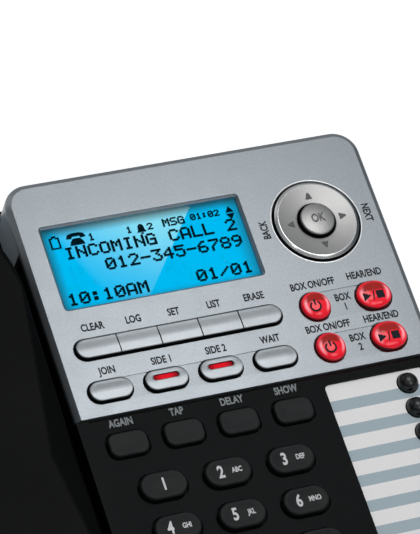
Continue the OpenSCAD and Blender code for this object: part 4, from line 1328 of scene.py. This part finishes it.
def runs(bits):
    """Start and end of every run of ones."""
    edges = [i for i, pair in enumerate(zip("0" + bits, bits + "0")) if pair[0] != pair[1]]
    return zip(edges[::2], edges[1::2])


def dot_words(bm, words, x, y, scale):
    """Characters from their top left corner, in the face frame."""
    for n, letter in enumerate(words):
        for row, bits in enumerate(GLYPHS.get(letter, "").split()):
            head = y - row * DOT_H * scale
            foot = head - DOT_H * scale - DOT_FAT
            for start, end in runs(bits):
                left = x + (n * 6 + start) * DOT_W * scale
                right = x + (n * 6 + end) * DOT_W * scale + DOT_FAT
                tile(bm, left, foot, right, head, pixel_z0, pixel_z1)


print("letter shapes:", len(GLYPHS))

# %% Words and signs on the display
# Each row is what is shown, its place from the dial and its size.
display_words = [("INCOMING CALL 2", -87.0, 8.4, 1.0), ("012-345-6789", -74.6, 2.2, 1.0),
                 ("10:10AM", -91.0, -8.3, 1.0), ("01/01", -45.7, -8.0, 1.0), ("1", -77.4, 12.2, 0.6),
                 ("1", -64.0, 12.2, 0.55), ("2", -56.6, 12.2, 0.55), ("MSG", -51.0, 12.7, 0.66),
                 ("01:02", -41.0, 12.7, 0.52)]
phone_base = [(-2.4, 0), (2.4, 0), (2.0, 1.3), (1.1, 2.3), (-1.1, 2.3), (-2.0, 1.3)]
phone_grip = [(-3.2, 2.5), (-1.5, 2.3), (-1.2, 3.0), (1.2, 3.0), (1.5, 2.3), (3.2, 2.5), (2.6, 3.8),
              (1.2, 4.2), (-1.2, 4.2), (-2.6, 3.8)]
bell = [(-1.7, 0), (1.7, 0), (1.2, 0.8), (1.0, 2.3), (0.5, 3.0), (-0.5, 3.0), (-1.0, 2.3), (-1.2, 0.8)]
clapper = [(-0.5, -0.7), (0.5, -0.7), (0.5, -0.2), (-0.5, -0.2)]
arrow_up = [(-1.5, 0), (1.5, 0), (0, 2.3)]
arrow_down = [(-1.5, 0), (0, -2.3), (1.5, 0)]
display_signs = [(phone_base, -81.5, 8.8, 1.08), (phone_grip, -81.5, 8.8, 1.08), (arrow_up, -26.9, 10.9, 1.0),
                 (arrow_down, -26.9, 10.4, 1.0), (bell, -58.8, 9.3, 1.0), (clapper, -58.8, 9.3, 1.0)]
battery = [(-1.4, 0), (1.4, 0), (1.4, 3.4), (0.6, 3.4), (0.6, 3.9), (-0.6, 3.9), (-0.6, 3.4), (-1.4, 3.4)]
BATTERY_AT = (-89.0, 8.5, 1.25)
PAINTED_SHADOW_SHIFT = (-0.22, -0.24, pixel_z0 - pixel_z1 + 0.005)


def at_dial(points, x, y, size):
    return [(dial.x + x + size * a, dial.y + y + size * b) for a, b in points]


bm = bmesh.new()
for words, x, y, size in display_words:
    dot_words(bm, words, dial.x + x, dial.y + y, size)
for points, x, y, size in display_signs:
    shape(bm, at_dial(points, x, y, size), pixel_z0, pixel_z1)
hollow = [(0.66 * a, 0.42 + 0.74 * b) for a, b in battery]
loft_round(bm, strip_rings(at_dial(hollow, *BATTERY_AT), at_dial(battery, *BATTERY_AT), pixel_z0, pixel_z1))
# A painted shadow of the dots: a shifted, half-clear copy.
dot_painted_shadow = bm.copy()
bmesh.ops.translate(dot_painted_shadow, verts=dot_painted_shadow.verts, vec=PAINTED_SHADOW_SHIFT)
dots = piece("display_dots", bm, pixel_ink, "base")
piece("display_painted_shadow", dot_painted_shadow, dot_shadow, "base")
print("display dots:", len(dots.data.polygons), "faces")

# %% [markdown]
# ## Printed words and signs
# The words on a panel are thin ink. Each word is a text curve turned into a mesh a few hundredths of a
# millimetre thick, laid on its surface. Words on a key ride on that key. All of them are plain working
# words.

# %% Lettering helpers
INK = 0.03
BOLD = 0.045
CAP = 2.5
CAP_SHARE = 0.69
SQUEEZE = 0.73
ABOVE = 0.004


def word_mesh(words, cap_height):
    """Mesh of a centred word, in mm."""
    curve = bpy.data.curves.new("word", "FONT")
    curve.body = words
    curve.align_x = "CENTER"
    curve.align_y = "CENTER"
    curve.size = cap_height / CAP_SHARE
    curve.extrude = INK / 2
    curve.offset = BOLD * cap_height
    curve.resolution_u = 3
    holder = bpy.data.objects.new("word", curve)
    mesh = bpy.data.meshes.new_from_object(holder)
    mesh.transform(Matrix.Diagonal((SQUEEZE, 1, 1, 1)))
    bpy.data.objects.remove(holder)
    bpy.data.curves.remove(curve)
    return mesh


def write(bm, words, x, y, z, cap_height=CAP, turn=0.0):
    mesh = word_mesh(words, cap_height)
    rotation = Matrix.Rotation(math.radians(turn), 4, "Z")
    mesh.transform(Matrix.Translation((x, y, z + INK / 2 + ABOVE)) @ rotation)
    bm.from_mesh(mesh)
    bpy.data.meshes.remove(mesh)


print("lettering helpers ready")

# %% Words on the panel
# Each row is a word with its place from the dial.
panel_words = [("CLEAR", -87.3, -23.1), ("LOG", -73.1, -23.1), ("SET", -59.1, -23.1),
               ("LIST", -45.0, -23.1), ("ERASE", -30.7, -23.1), ("JOIN", -87.2, -39.2),
               ("SIDE 1", -68.4, -39.2), ("SIDE 2", -49.5, -39.2), ("WAIT", -30.3, -39.2),
               ("BOX ON/OFF", -9.4, -22.7), ("BOX ON/OFF", -9.4, -38.8), ("HEAR/END", 9.5, -22.3),
               ("HEAR/END", 9.9, -38.8)]
bm = bmesh.new()
for words, x, y in panel_words:
    write(bm, words, dial.x + x, dial.y + y, 0)
for number, y in (("1", -29.1), ("2", -44.4)):
    write(bm, "BOX", dial.x - 0.7, dial.y + y, -LANE_DN)
    write(bm, number, dial.x - 0.6, dial.y + y - 3.6, -LANE_DN)
write(bm, "BACK", dial.x - 18.6, dial.y, 0, turn=90)
write(bm, "NEXT", dial.x + 18.6, dial.y, 0, turn=-90)
printed = piece("panel_print", bm, label_ink, "base")
print("panel words:", len(printed.data.polygons), "faces")

# %% [markdown]
# ## Signs
# The red keys carry a ring with a bar for on and off, and a triangle, a stroke and a square for play and
# stop. They are printed on a dome, so each sign is drawn flat, divided finely and then raised to the
# height of the dome below every point. The dial has four grey arrows.

# %% Signs on the red keys
SIGN_LOW = -0.10
SIGN_HIGH = 0.02
SIGN_SHIFT = Vector((-0.8, -0.9, 0))
RING_SWEEP = (125, 415)
RING_RADII = (1.40, 2.05)
play_sign = [[(-3.6, -1.5), (-0.9, 0), (-3.6, 1.5)], [(-0.6, -1.7), (-0.15, -1.7), (0.55, 1.7), (0.1, 1.7)],
             [(0.95, -1.4), (3.8, -1.4), (3.8, 1.4), (0.95, 1.4)]]
power_bar = [[(-0.32, 0.3), (0.32, 0.3), (0.32, 2.5), (-0.32, 2.5)]]


def dome_sign(node, shapes, cuts, ring=None):
    """Draws flat shapes, and an open ring of two radii, on the skin of a domed key."""
    at = middle(node) + SIGN_SHIFT
    bm = bmesh.new()
    if ring:
        inner, outer = (arc(at.x, at.y, r, *RING_SWEEP, 20) for r in ring)
        loft(bm, strip_rings(inner, outer, SIGN_LOW, SIGN_HIGH))
    for points in shapes:
        shape(bm, moved(points, at.x, at.y), SIGN_LOW, SIGN_HIGH)
    bmesh.ops.subdivide_edges(bm, edges=bm.edges[:], cuts=cuts, use_grid_fill=True)
    for v in bm.verts:
        v.co.z += dome_height(node, v.co.x, v.co.y)
    piece(node + "_sign", bm, label_ink, node)


for node in red_keys[:2]:
    dome_sign(node, power_bar, 1, RING_RADII)
for node in red_keys[2:]:
    dome_sign(node, play_sign, 5)
print("signs on", len(red_keys), "red keys")

# %% Signs on the dial
def four_turns(points):
    """The same points at each quarter turn."""
    turns = [Matrix.Rotation(math.radians(90 * k), 2) for k in range(4)]
    return [[turn @ Vector(p) for p in points] for turn in turns]


arrow_z = ring_top - 0.50
OK_CAP = 3.0
bm = bmesh.new()
for arrow in four_turns(((8.3, -1.2), (11.4, 0.0), (8.3, 1.2))):
    shape(bm, moved(arrow, dial.x, dial.y), arrow_z - 0.1, arrow_z + 0.08)
piece("dial_arrows", bm, arrow_grey, "nav_ring")
bm = bmesh.new()
write(bm, "OK", dial.x, dial.y, enter_high.z - 0.02, OK_CAP)
piece("enter_word", bm, arrow_grey, "enter_key")
print("arrows at", round(arrow_z, 2), "mm")

# %% [markdown]
# ## Memory card
# A paper card with grey and white rows lies in a sunk place of the deck, and six glossy domes stand
# beside its rows. The rows are printed, so they are a colour that repeats down the card with the pitch of
# the domes.

# %% Card material
mem_keys = ["memory_key_%d" % i for i in range(1, 7)]
mem_pitch = middle("memory_key_1").y - middle("memory_key_2").y
card_mid, card_w, card_h = footprint("memory_card")
card_low, card_high = span("memory_card")
FIRST_ROW = card_high.y - 5.9
ROW_H = 4.0
CARD_PALE = (0.87, 0.85, 0.845, 1)
CARD_GREY = (0.38, 0.46, 0.505, 1)


def card_finish():
    made, tree, shader = blank("card_white")
    _, v = face_place(tree)
    down = minus(tree, FIRST_ROW, v)
    row = calculate(tree, "MODULO", plus(tree, down, mem_pitch), mem_pitch)
    grey = times(tree, calculate(tree, "LESS_THAN", row, ROW_H), calculate(tree, "GREATER_THAN", down, -0.5))
    fibre = remap(tree, cloud(tree, 2400.0, 3.0), 0.3, 0.7, 0.97, 1.03)
    wire(tree, (tinted(tree, blended(tree, grey, CARD_PALE, CARD_GREY), fibre), shader.inputs["Base Color"]))
    settle(shader, Roughness=0.65)
    return made


card_white = card_finish()
print("card rows every", round(mem_pitch, 2), "mm")

# %% Memory card and its keys
MEM_FLANGE = 0.75
MEM_HOLE = 7.6
MEM_FULLNESS = 2.2
border = moved(outline(card_w, card_h, 1.9, 6), card_mid.x, card_mid.y)
bm = bmesh.new()
loft(bm, [lift(border, z) for z in (card_low.z, card_high.z)], False, False)
card_holes = [Hole(middle(n).x, middle(n).y, MEM_HOLE, MEM_HOLE, MEM_HOLE / 2, 0.02) for n in mem_keys]
plate(bm, border, border, card_holes, [], card_high.z, card_high.z - card_low.z, 10)
weld(bm)
piece("memory_card_sheet", bm, card_white, "base", ["memory_card"])
for node in mem_keys:
    at, w, h = footprint(node, MEM_FLANGE)
    bm = dome_mesh(w, h, card_high.z, key_top(node), MEM_FLANGE, MEM_FULLNESS, 12)
    piece(node + "_dome", place(bm, at), gloss_black, node, [node])
print("card", round(card_w, 1), "by", round(card_h, 1), "mm, keys", len(mem_keys))

# %% [markdown]
# ## Deck keys
# The deck's keys are satin black with pale numbers. They are the same pill as the silver ones, with a
# shallow dish for the finger instead of the roll. The numbers ride on the keys and lie in the dish, a
# little below its rim.

# %% Dial keys
DECK_EDGE = 0.8
DECK_DISH = 0.25
IN_DISH = 0.16
NUMBER_CAP = 4.0
NUMBER_LEFT = 2.6
LETTERS_CAP = 1.7
LETTERS_RIGHT = 2.9
dial_words = {"1": "", "2": "ABC", "3": "DEF", "4": "GHI", "5": "JKL", "6": "MNO", "7": "PQRS", "8": "TUV",
              "9": "WXYZ", "star": "", "0": "", "hash": ""}


def deck_key(node, r=None, edge=DECK_EDGE, dish=DECK_DISH, steps=10):
    """Dresses a dished black key and returns its middle and the height of its rim."""
    at, w, h = key_size(node)
    bm = key_mesh(w, h, r or h / 2, key_top(node), edge, dish=dish, steps=steps)
    key_cap(node, bm, at, [key_black, black_side])
    return at, key_top(node)


def star(bm, x, y, z, reach, waist):
    """A sign with six points."""
    turns = [math.radians(90 + 30 * k) for k in range(12)]
    radii = [reach, waist] * 6
    points = [(x + r * math.cos(a), y + r * math.sin(a)) for r, a in zip(radii, turns)]
    shape(bm, points, z, z + INK)


for name, letters in dial_words.items():
    node = "dial_key_" + name
    at, up = deck_key(node)
    bm = bmesh.new()
    if name == "star":
        star(bm, at.x, at.y, up - IN_DISH, reach=1.7, waist=0.55)
    else:
        number_x = at.x - NUMBER_LEFT if letters else at.x
        write(bm, "#" if name == "hash" else name, number_x, at.y, up - IN_DISH, NUMBER_CAP)
    if letters:
        write(bm, letters, at.x + LETTERS_RIGHT, at.y, up - IN_DISH, LETTERS_CAP)
    piece(node + "_number", bm, key_ink, node)
print("dial keys:", len(dial_words))

# %% Other deck keys
WORD_DN = 0.12
WORD_CAP = 2.6
row_words = {"redial_key": "AGAIN", "flash_key": "TAP", "pause_key": "DELAY", "preview_key": "SHOW"}
for node, words in (("mute_key", "QUIET"), ("speaker_key", "ALOUD")):
    at, up = deck_key(node)
    bm = bmesh.new()
    write(bm, words, at.x, at.y, up - WORD_DN, WORD_CAP)
    piece(node + "_word", bm, key_ink, node)
for node in row_words:
    deck_key(node, r=3.0, edge=0.7, dish=0.15, steps=8)
print("other deck keys:", 2 + len(row_words))

# %% Marks of the volume rocker
MARK_X = 11.0
MARK_HALF = 1.5
MARK_THIN = 0.3
at = middle("volume_rocker")
rocker_top = key_top("volume_rocker")
cross = sum(four_turns(((MARK_THIN, MARK_THIN), (MARK_THIN, MARK_HALF), (-MARK_THIN, MARK_HALF))), [])
dash = [(-MARK_HALF, -MARK_THIN), (MARK_HALF, -MARK_THIN), (MARK_HALF, MARK_THIN), (-MARK_HALF, MARK_THIN)]
bm = bmesh.new()
for mark, x in ((dash, at.x - MARK_X), (cross, at.x + MARK_X)):
    shape(bm, moved(mark, x, at.y), rocker_top - 0.05, rocker_top + 0.03)
piece("volume_marks", bm, key_ink, "volume_rocker")
print("volume marks", 2 * MARK_X, "mm apart")

# %% Words on the deck
WORD_UP = 7.9
DECK_Z = -0.8
bm = bmesh.new()
for node, words in row_words.items():
    write(bm, words, middle(node).x, middle(node).y + WORD_UP, DECK_Z)
piece("deck_print", bm, deck_ink, "base")
print("deck words:", len(row_words))

# %% [markdown]
# ## Handset
# The handset's back is one long moulding with round ends. Its top is flat and its side facets widen
# towards the grip. It is lofted from cross-sections along its length, with every crease softened, because
# light runs along those creases and shows the form.

# %% Handset back
back_mid, back_w, back_len = footprint("handset_back")
back_low, back_high = span("handset_back")
HS_END = 35.0
HS_FALL = 2.2
FALL_LEN = 16.0
MID_FACET = 9.0
END_FACET = 0.7
TIP_FACET = 2.1


def soften(points, radius, steps=4):
    """Rounds the inner corners of an open row of points."""
    made = [points[0]]
    for before, corner, after in zip(points, points[1:], points[2:]):
        a = corner + (before - corner) * min(0.45, radius / max((before - corner).length, 1e-6))
        b = corner + (after - corner) * min(0.45, radius / max((after - corner).length, 1e-6))
        for i in range(steps + 1):
            t = i / steps
            made.append(a * (1 - t) ** 2 + corner * 2 * t * (1 - t) + b * t ** 2)
    made.append(points[-1])
    return made


def handset_section(along):
    """One cross-section as an open row over the back, from the right seam to the left seam."""
    near = min(along, back_len - along)
    tip = max(0.0, 1 - near / HS_END)
    grip = max(0.0, near - HS_END) / (back_len / 2 - HS_END)
    half = back_w / 2 * math.sqrt(max(1 - tip ** 2, 0.0))
    z = back_high.z - HS_FALL * max(0.0, 1 - near / FALL_LEN) ** 2
    facet = min(END_FACET + TIP_FACET * tip + (MID_FACET - END_FACET) * grip, 0.6 * half)
    drop = 0.6 + 0.32 * facet
    right = [Vector((half, 0)), Vector((half, z - drop)), Vector((half - facet, z)), Vector((0, z + 0.01))]
    row = soften(right, 1.1)
    row += [Vector((-p.x, p.y)) for p in reversed(row[:-1])]
    return [Vector((back_mid.x + p.x, back_high.y - along, p.y)) for p in row]


stops = [HS_END * (1 - math.cos(math.radians(6 + 84 * k / 16))) for k in range(17)]
stops += [HS_END + (back_len / 2 - HS_END) * k / 12 for k in range(1, 13)]
stops += [back_len - s for s in reversed(stops[:-1])]
bm = bmesh.new()
loft(bm, [handset_section(along) for along in stops])
piece("handset_back_shell", bm, handset_black, "handset", ["handset_back"])
print("handset back:", [round(v, 1) for v in back_high - back_low], "mm from", len(stops), "sections")

# %% [markdown]
# ## Housing and what stays
# The other pieces keep the frame's solid, which is fine enough. Their hard edges get a narrow bevel, as
# every moulded edge has one, and each gets the material of its slot.

# %% Materials of the kept pieces
EDGE_BEVEL = 0.00035
for part in frame["record"]["subparts"]:
    kept = nodes[part["node"]]
    kept.data.materials.clear()
    kept.data.materials.append(slot_finish[part["material_slot"]])
    edge = kept.modifiers.new("moulded_edge", "BEVEL")
    edge.width = EDGE_BEVEL
    edge.segments = 2
    edge.limit_method = "ANGLE"
    edge.angle_limit = math.radians(40)
    edge.harden_normals = True
print("kept pieces:", sum(not o.hide_render for o in nodes.values()))
